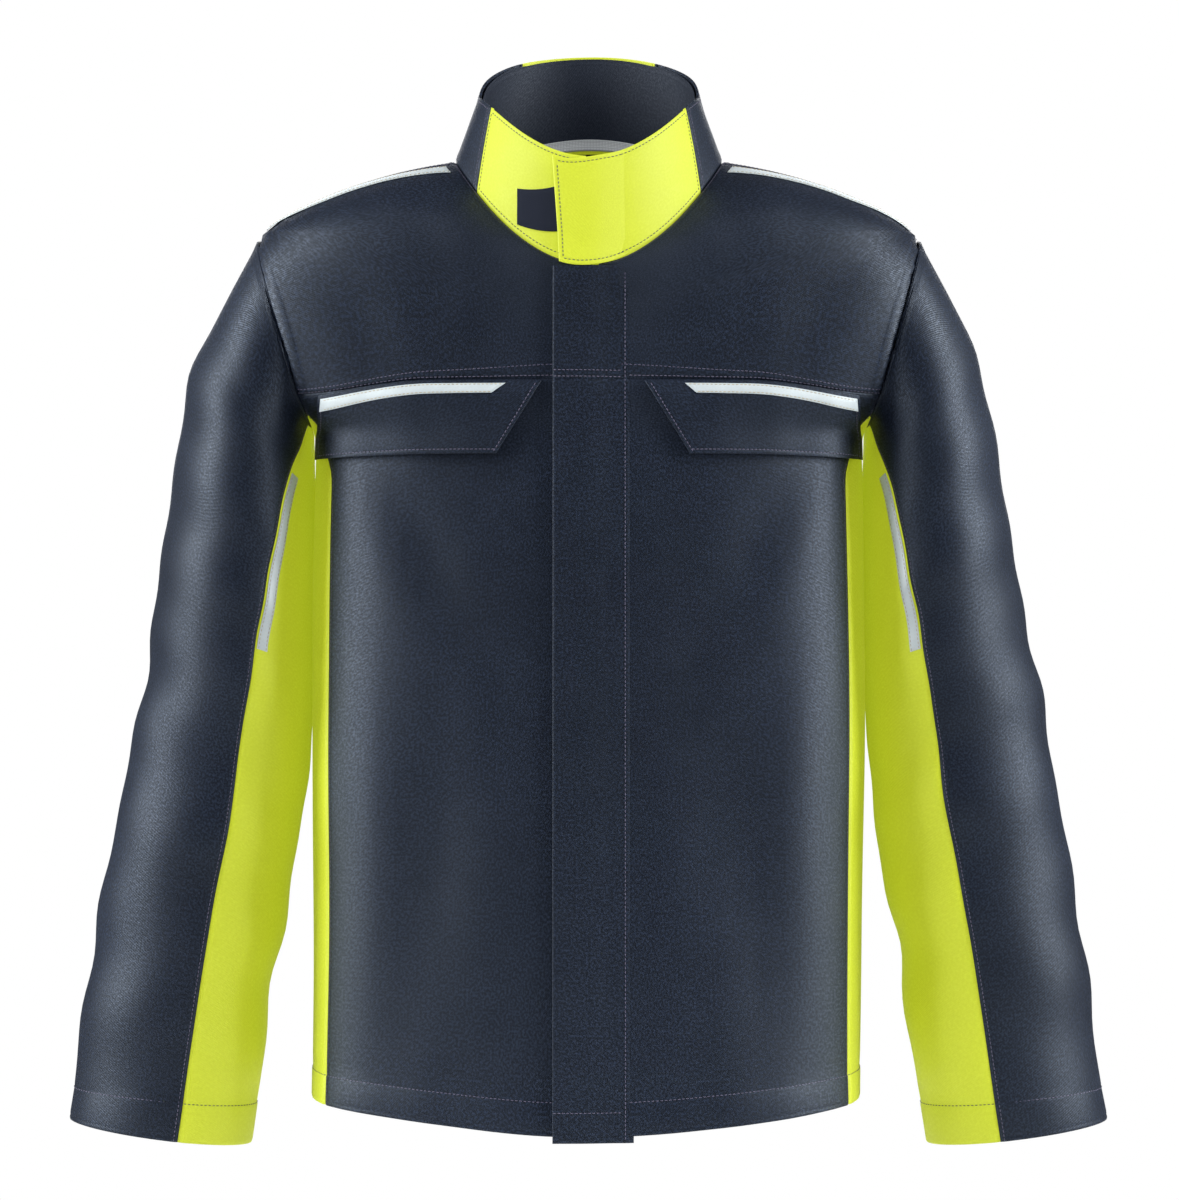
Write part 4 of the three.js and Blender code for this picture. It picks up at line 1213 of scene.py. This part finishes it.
def collar_place(start, end, low, high):
    """Part of the collar, tucked a little below the neckline at its foot."""
    upright = on_surface(collar, between(start, end, low, high))

    def placed(p, q):
        points, normals = upright(p, q)
        tuck = 0.0024 * (1 - smooth(mix(low, high, q) / 0.03))
        return points - tuck[..., None] * np.array([0, 0, 1]), normals

    return placed


def collar_at_x(x_low, x_high):
    def at(v):
        v = np.asarray(v, float)
        wanted = mix(x_low, x_high, v)
        return np.sign(wanted) * quarter(v, lambda a: collar.point(a, v)[..., 0] < np.abs(wanted))

    return at


def collar_panel(part, side, start, end, seams, material):
    """One panel of the collar; its side is a name and a sign, or neither for the middle."""
    name, sign = side
    place = collar_place(start, end, 0.004, 1.0)
    panel = Panel("collar_%s_cloth%s" % (part, name), mirrored(place, sign), seams=seams, fold=collar_fold,
                  step=0.006, cloth=COLLAR_CLOTH, stitched=(FLAP_LINE,), backing=lining)
    panels["collar_" + part + name] = panel.sewn(material, "coat_shell", "collar_%s_panel%s" % (part, name))


front_end, back_end = steady(math.radians(1.5)), steady(COLLAR_BACK_SEAM)
for name, side in SIDES:
    collar_panel("front", ("_" + name, side), front_end, collar_seam, "rb", yellow)
    collar_panel("side", ("_" + name, side), collar_seam, back_end, "lrb", navy)
collar_panel("back", ("", 1), back_end, steady(TURN - COLLAR_BACK_SEAM), "lrb", yellow)


def lining_place(p, q):
    """The lining, which stops a little lower behind the neck and leaves the outer cloth to show."""
    angle = mix(math.radians(3), math.radians(357), p)
    top = 0.985 - 0.018 * smooth((np.abs(p - 0.5) - 0.13) / -0.03)
    v = mix(0.006, top, q)
    return collar.point(angle, v), collar.normal(angle, v)


Panel("collar_lining_cloth", lining_place,
      seams="", fold=collar_fold, lift=-0.0033, step=0.007, cloth=0.001, stitched=(0.004,)
      ).sewn(lining, "coat_shell", "collar_lining")
Panel("neck_tape_cloth", collar_place(steady(math.radians(118)), steady(math.radians(242)), 0.012, 0.11),
      seams="", fold=collar_fold, lift=-0.0058, step=0.006, cloth=0.0008, stitched=(0.0015,)
      ).sewn(grey_tape, "coat_shell", "neck_tape")

# %% [markdown]
# The tab is one layer that lies proud of the collar at its free end and sinks into it where it is sewn.
# It is blended across that line, so that it bends there when it opens instead of swinging like a board.

# %% Collar tab and its fastener
TAB_HINGE = FLAP_HINGE_X
TAB_BLEND = ("coat_shell", "collar_tab", (TAB_HINGE + 0.0025, 0, 0), (TAB_HINGE - 0.003, 0, 0))
LIFTED = 0.0044


def tab_lift(p, q):
    """Proud at the free end, and run down into the collar so that no edge shows at the fold."""
    foot = 0.0024 * (1 - smooth(p / 0.9)) * (1 - smooth(q / 0.25))
    return mix(LIFTED, -0.0003, smooth((p - 0.30) / 0.7)) + foot


def tab_place(p, q):
    v = mix(0.0, mix(0.925, 1.0, smooth(p / 0.7)), q)
    angle = mix(collar_at_x(-0.021, -0.0265)(v), collar_at_x(0.032, 0.032)(v), p)
    points, normals = collar.point(angle, v), collar.normal(angle, v)
    drop = 0.004 * (1 - smooth(q / 0.3)) * (1 - smooth(p / 0.95))
    return points - drop[..., None] * np.array([0, 0, 1]), normals


tab = Panel("collar_tab_cloth", tab_place, seams="", fold=None, lift=tab_lift, step=0.004, cloth=DOUBLED,
            stitched=(FLAP_LINE,))
tab.sewn(yellow, TAB_BLEND, "collar_tab")


def patch_place(p, q):
    """The loop patch: its outer end is narrower, and its top edge slants."""
    v = mix(mix(0.08, 0.34, p), mix(0.42, 0.82, p), q)
    angle = -quarter(v, lambda a: collar.point(a, v)[..., 0] < mix(0.052, 0.004, p))
    return collar.point(angle, v), collar.normal(angle, v)


Panel("collar_loop_patch_cloth", patch_place, seams="", lift=0.0011, step=0.004, cloth=0.0007,
      stitched=(TWIN[0],)).sewn(touch, "coat_shell", "collar_loop_patch")
hook_place = collar_place(collar_at_x(-0.017, -0.017), collar_at_x(0.010, 0.010), 0.28, 0.62)
Panel("collar_hook_patch_cloth", hook_place, seams="", lift=0.0022, step=0.005, cloth=TRIM,
      stitched=(TWIN[0],)).sewn(touch, "collar_tab", "collar_hook_patch")

# %% [markdown]
# The storm flap covers the zip from neck to hem. It is sewn down along the wearer's left and free on the
# right, where a touch strip holds it shut, so its sewn edge sinks to the coat and the rest lies proud.

# %% Storm flap
FLAP_TOP_Z, FLAP_LOW_Z = NECK_FRONT_Z - 0.0015, HEM_Z - 0.004
lean = math.atan(FRONT_LEAN)
FRONT_OUT = np.array([0, -math.cos(lean), math.sin(lean)])


def storm_place(x0, x1, top, low):
    """A strip of the front, which is straight down its length and curved only across."""
    heights = np.maximum(np.linspace(low, top, 33), HEM_Z + 0.001)
    angle, v = place_xz(*np.meshgrid(np.linspace(x0, x1, 9), heights))
    curve = grid_reader(body.point(angle, v)[..., 1] - body.point(0.0, v)[..., 1])

    def placed(p, q):
        x, z = mix(x0, x1, p), mix(low, top, q)
        y = -reach(z) + np.maximum(0, curve(p, q))
        return np.stack([x, y, z], axis=-1), np.broadcast_to(FRONT_OUT, (*np.shape(x), 3))

    return placed


def storm_lift(p, q):
    """Proud at the free edge, and run down into the left front, where stitching marks the fold."""
    sunk = mix(0.0042, 0.0006, smooth((p - 0.3) / 0.55)) - 0.0013 * smooth((p - 0.91) / 0.09)
    soft = 0.0005 * np.sin(31 * q + 1.3) * np.sin(17 * q) + 0.0004 * np.sin(73 * q + 2 * p)
    return sunk + soft * (1 - p) * 0.9


STORM_EDGE = 0.0320
STORM_BLEND = ("coat_shell", "storm_flap", (FLAP_HINGE_X + 0.0026, 0, 0), (FLAP_HINGE_X - 0.003, 0, 0))
YOKE_SHARE = (YOKE_FRONT_Z - FLAP_LOW_Z) / (FLAP_TOP_Z - FLAP_LOW_Z)
storm = Panel("storm_flap_cloth", storm_place(FLAP_FREE_X, STORM_EDGE, FLAP_TOP_Z, FLAP_LOW_Z), seams="",
              fold=on_body, lift=storm_lift, step=0.0065, cloth=DOUBLED, creases=(YOKE_SHARE,))
storm.sewn(navy, STORM_BLEND, "storm_flap")
Panel("storm_flap_hook_cloth", storm_place(-0.020, -0.008, FLAP_TOP_Z - 0.060, HEM_Z + 0.020), seams="",
      fold=on_body, lift=0.0023, step=0.006, cloth=TRIM, stitched=(TRIM_LINE,)
      ).sewn(touch, "storm_flap", "storm_flap_hook_strip")
Panel("storm_flap_loop_cloth", storm_place(-0.020, -0.008, FLAP_TOP_Z - 0.060, HEM_Z + 0.020), seams="",
      fold=on_body, lift=0.0011, step=0.006, cloth=TRIM, stitched=(TRIM_LINE,)
      ).sewn(touch, "coat_shell", "storm_flap_loop_strip")

# %% [markdown]
# The chest pockets open under turned flaps that hang from the yoke seam. A flap's inner end is cut on a
# slant, and a strip of reflective tape is sewn along its top.

# %% Pocket flaps and chest tape
POCKET_TOP, POCKET_DROP = YOKE_FRONT_Z - 0.001, 0.053
POCKET_OUT = 0.196
POCKET_INNER = {"right": (0.066, 0.034), "left": (0.072, 0.040)}
TAPE_INNER = {"right": (0.070, 0.060), "left": (0.077, 0.069)}


def chest_place(x_inner, x_outer, top, low, side):
    """A patch of the chest between two x edges (which may slant with height) and two heights."""
    grid_p, grid_q = np.meshgrid(np.linspace(0, 1, 33), np.linspace(0, 1, 9))
    x = mix(mix(x_inner[0], x_inner[1], grid_q), x_outer, grid_p)
    follow = smooth((mix(low, top, grid_q) - YOKE_FRONT_Z + 0.08) / 0.08)
    angle, v = [grid_reader(table) for table in place_xz(x, mix(low, top, grid_q) + yoke_drop(x) * follow)]
    return mirrored(on_surface(body, lambda p, q: (angle(p, q), v(p, q))), side)


def pocket_blend(name):
    return "coat_shell", "pocket_flap_" + name, (0, 0, POCKET_TOP + 0.0006), (0, 0, POCKET_TOP - 0.0035)


def flap_lift(p, q):
    rise = smooth((1 - q) / 0.22)
    sag = 0.0009 * np.sin(5.5 * p + 1.0) * smooth((0.75 - q) / 0.7)
    return mix(0.0022, 0.0050, rise) + sag + 0.0006 * (p - 0.5) ** 2


def tape_lift(p, q):
    depth = (0.002 + (1 - q) * 0.007) / POCKET_DROP
    return flap_lift(p, 1 - depth) + 0.0007


def chest_piece(name, place, lift, step, cloth, line, seams="", **cut):
    return Panel(name, place, seams=seams, fold=on_body, lift=lift, step=step, cloth=cloth,
                 stitched=(line,), **cut)


for name, side in SIDES:
    joined, flap_body = pocket_blend(name), "pocket_flap_" + name
    flap_place = chest_place(POCKET_INNER[name], POCKET_OUT, POCKET_TOP, POCKET_TOP - POCKET_DROP, side)
    tape_place = chest_place(TAPE_INNER[name], 0.194, POCKET_TOP - 0.002, POCKET_TOP - 0.009, side)
    patch_at = chest_place((0.095, 0.095), 0.155, POCKET_TOP - 0.034, POCKET_TOP - 0.048, side)
    bag_place = chest_place((0.074, 0.074), 0.152, POCKET_TOP - 0.014, POCKET_TOP - 0.194, side)
    facing_place = chest_place((0.008, 0.008), 0.058, NECK_FRONT_Z - 0.008, HEM_Z + 0.006, side)
    flap = chest_piece("pocket_flap_cloth_" + name, flap_place, flap_lift, 0.006, DOUBLED, FLAP_LINE, "t",
                       roll=0.0006)
    tape = chest_piece("chest_reflective_tape_" + name, tape_place, tape_lift, 0.005, TRIM, TAPE_LINE)
    panels["pocket_flap_" + name] = flap.sewn(navy, joined, "pocket_flap_" + name)
    panels["chest_tape_" + name] = tape.sewn(reflective, joined, "chest_reflective_" + name)
    chest_piece("pocket_hook_cloth_" + name, patch_at, 0.0030, 0.006, TRIM, TRIM_LINE
                ).sewn(touch, flap_body, "pocket_hook_patch_" + name)
    chest_piece("pocket_loop_cloth_" + name, patch_at, 0.0016, 0.006, TRIM, TRIM_LINE
                ).sewn(touch, "coat_shell", "pocket_loop_patch_" + name)
    chest_piece("pocket_bag_cloth_" + name, bag_place, -0.0046, 0.009, CLOTH, 0.004
                ).sewn(lining, "coat_shell", "pocket_bag_" + name)
    chest_piece("front_facing_cloth_" + name, facing_place, -0.0051, 0.009, 0.0009, 0.003
                ).sewn(lining, "coat_shell", "front_facing_" + name)

# %% [markdown]
# Reflective tape also follows the front of each shoulder and the top of each sleeve's front seam.

# %% Shoulder and sleeve tape
def shoulder_place(side):
    def placed(p, q):
        v = mix(body.shares[11] + 0.01, TIP_V + 0.012, p)
        line = shoulder_seam(v)
        point = body.point(line, v)
        wanted = point[..., 1] - mix(0.0190, 0.0075, q)
        angle = front_angle(v, lambda points: points[..., 1] < wanted)
        return body.point(angle, v), body.normal(angle, v)

    return mirrored(placed, side)


def tape_from(s):
    return sleeve_seam(s) + math.radians(1.2)


def tape_to(s):
    return sleeve_seam(s) + math.radians(8.5)


for name, side in SIDES:
    shoulder = Panel("shoulder_reflective_tape_" + name, shoulder_place(side), seams="", fold=on_body,
                     lift=0.0012, step=0.006, cloth=TRIM, stitched=(TAPE_LINE,))
    panels["shoulder_tape_" + name] = shoulder.sewn(reflective, "coat_shell",
                                                    "shoulder_reflective_" + name)
    strip = Panel("sleeve_reflective_tape_" + name, sleeve_place(tape_from, tape_to, 0.15, 0.43, side),
                  seams="", lift=0.0009, step=0.005, cloth=TRIM, stitched=(TAPE_LINE,))
    panels["sleeve_tape_" + name] = strip.sewn(reflective, sleeve_blend(name, side),
                                               "sleeve_reflective_" + name)

# %% [markdown]
# The hanging loop is a narrow tape bent into a long bridge, and the label below it is left blank.

# %% Hanging loop and label
LOOP_HALF, LOOP_STAND, LOOP_LOW, LOOP_TALL = 0.032, 0.0096, NECK_BACK_Z - 0.017, 0.008
LOOP_BACK = NECK_BACK - 0.005


def loop_place(p, q):
    """A flat tape: up from one end, along the neck, and back down at the other end."""
    turn = 0.003
    span, leg, corner = LOOP_HALF - turn, LOOP_STAND - turn, math.pi / 2 * turn
    out = np.abs(2 * p - 1) * (span + corner + leg)
    bend = np.clip((out - span) / turn, 0, math.pi / 2)
    side = np.sign(2 * p - 1)
    x = side * (np.minimum(out, span) + turn * np.sin(bend))
    y = LOOP_BACK - LOOP_STAND + turn * (1 - np.cos(bend)) + np.maximum(0, out - span - corner)
    z = LOOP_LOW + q * LOOP_TALL
    normal = np.stack([side * np.sin(bend), -np.cos(bend), np.zeros_like(x)], axis=-1)
    return np.stack([x, y, z], axis=-1), normal


Panel("hanging_loop_tape", loop_place, seams="", step=0.003, cloth=DOUBLED, stitched=(TAPE_LINE,)
      ).sewn(grey_tape, "coat_shell", "hanging_loop")


def label_place(p, q):
    x, z = mix(-0.016, 0.016, p), mix(NECK_BACK_Z - 0.052, NECK_BACK_Z - 0.022, q)
    angle, v = place_xz(x, z, True)
    return body.point(angle, v), body.normal(angle, v)


Panel("care_label_cloth", label_place, seams="", lift=-0.0046, step=0.004, cloth=0.0004,
      stitched=(TAPE_LINE,)).sewn(label_cloth, "coat_shell", "care_label")

# %% [markdown]
# A zip is two cloth tapes, two rows of moulded teeth that mesh in the middle, a slider with its pull, and
# a box at the foot. One tooth is a small bevelled block with a nose; it is copied down each tape.

# %% Zip
neck_front = np.array([0, -FRONT_REACH, NECK_FRONT_Z])
FRONT_DOWN = np.array([0, -math.sin(lean), -math.cos(lean)])
ZIP_BACK = 0.002
ZIP_TOP = 0.005
ZIP_BOTTOM = (NECK_FRONT_Z - HEM_Z - 0.014) / math.cos(lean)
TOOTH_PITCH = 0.0021


def front_line(across, outward, down):
    across, outward, down = np.broadcast_arrays(across, outward, down)
    return neck_front + across[..., None] * np.array([1, 0, 0]) + outward[..., None] * FRONT_OUT \
        + down[..., None] * FRONT_DOWN


def zip_tape_place(side):
    def placed(p, q):
        across = side * mix(0.0027, 0.0137, p)
        points = front_line(across, np.full_like(p, -ZIP_BACK - 0.001), mix(ZIP_BOTTOM, ZIP_TOP, q))
        return points, np.broadcast_to(FRONT_OUT, points.shape)

    return placed


TOOTH = np.array([(0.0008, -0.00045), (0.0008, 0.00045), (0.0014, 0.00062), (0.0023, 0.0005),
                  (0.0023, -0.0005), (0.0014, -0.00062)])
TOOTH_MIDDLE = 0.00155


def tooth_row(name, side):
    """One tooth is a six-sided block, narrower towards its faces."""
    count = int((ZIP_BOTTOM - ZIP_TOP) / TOOTH_PITCH)
    down = ZIP_TOP + 0.001 + np.arange(count) * TOOTH_PITCH + (TOOTH_PITCH / 2 if side > 0 else 0)
    down = down[down < ZIP_BOTTOM - 0.0006]
    outwards, sizes = np.array([-0.0044, -0.0040, -0.0029, -0.0025]), np.array([0.7, 1.0, 1.0, 0.7])
    across = TOOTH_MIDDLE + np.outer(sizes, TOOTH[:, 0] - TOOTH_MIDDLE)
    along, level = np.outer(sizes, TOOTH[:, 1]), np.repeat(outwards[:, None], 6, 1)
    shape = np.stack([side * across, level, along], axis=-1).reshape(1, -1, 3)
    faces = tube_faces(4, 6) + [tuple(range(6)), tuple(reversed(range(18, 24)))]
    vertices = front_line(shape[..., 0], shape[..., 1], shape[..., 2] + down[:, None]).reshape(-1, 3)
    every = [tuple(24 * tooth + k for k in face) for tooth in range(len(down)) for face in faces]
    piece = closed_object(name, vertices, every, metal)
    piece.data.shade_flat()
    print(name, len(down), "teeth")
    return piece


for name, side in SIDES:
    Panel("zip_tape_cloth_" + name, zip_tape_place(side), seams="", step=0.006, cloth=0.0008,
          stitched=(TWIN[0],)).sewn(zip_cloth, "coat_shell", "zip_tape_" + name)
    teeth = tooth_row("zip_teeth_row_" + name, side)
    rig.replaces(teeth, "zip_teeth_" + name)
    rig.slot(teeth, SLOTS[metal.name])
    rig.ride(teeth, "coat_shell")
for node in ("zip_slider", "zip_pull", "zip_bottom_box"):
    solid = frame["nodes"][node]
    solid.data.materials.clear()
    solid.data.materials.append(metal)

# %% [markdown]
# Now the thread. On navy cloth the thread is a dull blue, on yellow it is dark, and the shoulder tape is
# caught down with a beige one, as on many work garments.

# %% Topstitching
def lines(panel, sides, *distances, start=0.0, end=1.0):
    """Lines of stitches along some borders of a piece, at one or more distances from each."""
    return [edge_line(panel, side, distance, start, end) for side in sides for distance in distances]


def level_line(panel, q, start=0.0, end=1.0):
    """A line straight across a panel."""
    return panel.surface(np.linspace(start, end, 80), np.full(80, q), THREAD_UP)


on_navy, on_yellow = [], []
for name, _ in SIDES:
    front, yoke = panels["front_" + name], panels["yoke_" + name]
    on_navy += lines(front, "b", HEM_BAND) + lines(front, "l", SINGLE) + lines(yoke, "b", *TWIN)
    on_navy += lines(yoke, "t", TWIN[0]) + lines(front, "r", SINGLE, end=0.97)
    on_yellow += lines(panels["side_" + name], "b", HEM_BAND)
    on_yellow += lines(panels["collar_front_" + name], "tblr", FLAP_LINE, start=0.03, end=0.97)
back, back_yoke = panels["back"], panels["back_yoke"]
on_navy += lines(back, "lr", SINGLE) + lines(back, "b", HEM_BAND)
on_navy += lines(back_yoke, "b", *TWIN) + lines(back_yoke, "t", TWIN[0]) + lines(back_yoke, "lr", *TWIN)
for name, _ in SIDES:
    on_navy += lines(panels["collar_side_" + name], "tlr", FLAP_LINE, start=0.02, end=0.98)
on_yellow += lines(panels["collar_back"], "tlr", FLAP_LINE, start=0.03, end=0.97)
shoulder_lines = []
for name, _ in SIDES:
    shoulder_lines += lines(panels["shoulder_tape_" + name], "bt", TAPE_LINE)
sew("stitches_body_navy", on_navy, navy_thread, "coat_shell")
sew("stitches_body_yellow", on_yellow, dark_thread, "coat_shell")
sew("stitches_shoulder_tape", shoulder_lines, beige_thread, "coat_shell")

storm_rise = 1 / float(storm.heights.mean())
storm_lines = lines(storm, "r", STORM_EDGE - FLAP_HINGE_X, start=0.003, end=0.997)
storm_lines += lines(storm, "b", HEM_BAND, end=0.9)
storm_lines += [level_line(storm, YOKE_SHARE + gap * storm_rise, 0, 0.9) for gap in TWIN]
sew("stitches_storm_flap", storm_lines, navy_thread, STORM_BLEND)
tab_lines = lines(tab, "l", FLAP_LINE, start=0.05, end=0.95)
tab_lines += lines(tab, "bt", FLAP_LINE, start=0.06, end=0.9)
sew("stitches_collar_tab", tab_lines, dark_thread, TAB_BLEND)
for name, side in SIDES:
    flap, tape = panels["pocket_flap_" + name], panels["chest_tape_" + name]
    outer, inner = panels["sleeve_outer_" + name], panels["sleeve_inner_" + name]
    flap_joined, sleeve_joined = pocket_blend(name), sleeve_blend(name, side)
    sew("stitches_pocket_flap_" + name, lines(flap, "lrb", FLAP_LINE, start=0.02, end=0.98),
        navy_thread, flap_joined)
    sew("stitches_chest_tape_" + name, lines(tape, "tb", TAPE_LINE, start=0.01, end=0.99),
        beige_thread, flap_joined)
    sew("stitches_sleeve_navy_" + name, lines(outer, "b", SLEEVE_BAND) + lines(outer, "lr", SINGLE),
        navy_thread, sleeve_joined)
    sew("stitches_sleeve_yellow_" + name, lines(inner, "b", SLEEVE_BAND),
        dark_thread, sleeve_joined)
    sew("stitches_sleeve_tape_" + name, lines(panels["sleeve_tape_" + name], "lr", TAPE_LINE),
        beige_thread, sleeve_joined)

# %% [markdown]
# Studio: a pale floor well below the hanging coat, an even white surround for the camera with a dimmer
# fill for the cloth, and large soft lamps from both sides and above.

# %% Floor and light
bpy.ops.object.select_all(action="DESELECT")
bpy.ops.mesh.primitive_circle_add(vertices=96, radius=1.25, fill_type="NGON", location=(0, 0, -1.06))
floor = bpy.context.object
floor.name = "studio_floor"
pale = Finish("pale floor", specular_ior_level=0.2)
floor_cloud = pale.noise(pale.node("TexCoord", output=3), 3.0)
floor.data.materials.append(pale.feed(
    Base_Color=pale.blend(floor_cloud, (0.80, 0.80, 0.80, 1), (0.86, 0.86, 0.86, 1)),
    Roughness=0.8 + floor_cloud * 0.1))
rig.stage(floor)

world = bpy.data.worlds.new("studio")
bpy.context.scene.world = world
world.use_nodes = True
tree = world.node_tree
dim = tree.nodes["Background"]
dim.inputs["Color"].default_value = (0.93, 0.96, 1.0, 1)
dim.inputs["Strength"].default_value = 0.13
white = tree.nodes.new("ShaderNodeBackground")
white.inputs["Color"].default_value = (1, 1, 1, 1)
white.inputs["Strength"].default_value = 1.0
switch = tree.nodes.new("ShaderNodeMixShader")
seen = tree.nodes.new("ShaderNodeLightPath")
tree.links.new(seen.outputs["Is Camera Ray"], switch.inputs[0])
tree.links.new(dim.outputs[0], switch.inputs[1])
tree.links.new(white.outputs[0], switch.inputs[2])
tree.links.new(switch.outputs[0], tree.nodes["World Output"].inputs["Surface"])


def lamp(name, place, aim, size, power, gleam=True):
    """An area lamp; one without gleam lights the cloth but isn't mirrored in it."""
    light = bpy.data.lights.new(name, "AREA")
    light.shape = "RECTANGLE"
    light.size, light.size_y = size
    light.energy = power
    holder = bpy.data.objects.new(name, light)
    holder.location = place
    holder.rotation_euler = (Vector(aim) - Vector(place)).to_track_quat("-Z", "Y").to_euler()
    holder.visible_glossy = gleam
    bpy.context.scene.collection.objects.link(holder)


middle = (0, 0, -0.3)
lamp("left_lamp", (-2.3, -0.55, 0.5), middle, (1.0, 1.9), 112)
lamp("right_lamp", (2.3, -0.55, 0.5), middle, (1.0, 1.9), 112)
lamp("top_lamp", (0, -0.8, 1.9), middle, (2.0, 1.2), 22, False)
lamp("back_lamp", (0, 2.4, 0.6), middle, (2.2, 1.6), 34)
lamp("front_fill", (0, -3.4, 0.3), middle, (1.8, 1.8), 30, False)

# %% [markdown]
# The camera stands level with the middle of the coat, 2.6 metres away, with a long lens as in a product
# studio. The view transform is plain, so bright yellow cloth keeps its colour.

# %% Camera
eye = bpy.data.objects.new("camera", bpy.data.cameras.new("camera"))
bpy.context.scene.collection.objects.link(eye)
eye.location = (0.0004, -2.6, -0.300)
eye.rotation_euler = (math.pi / 2, 0, 0)
eye.data.lens, eye.data.sensor_width = 104, 36
bpy.context.scene.camera = eye
bpy.context.scene.view_settings.view_transform = "Standard"
bpy.context.scene.view_settings.look = "None"

# %% Sizes, then finish
json.dump({"cad": [list(corner) for corner in cad_box], "visual": [list(corner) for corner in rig.bounds()]},
          open("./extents.json", "w"))
print(open("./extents.json").read())
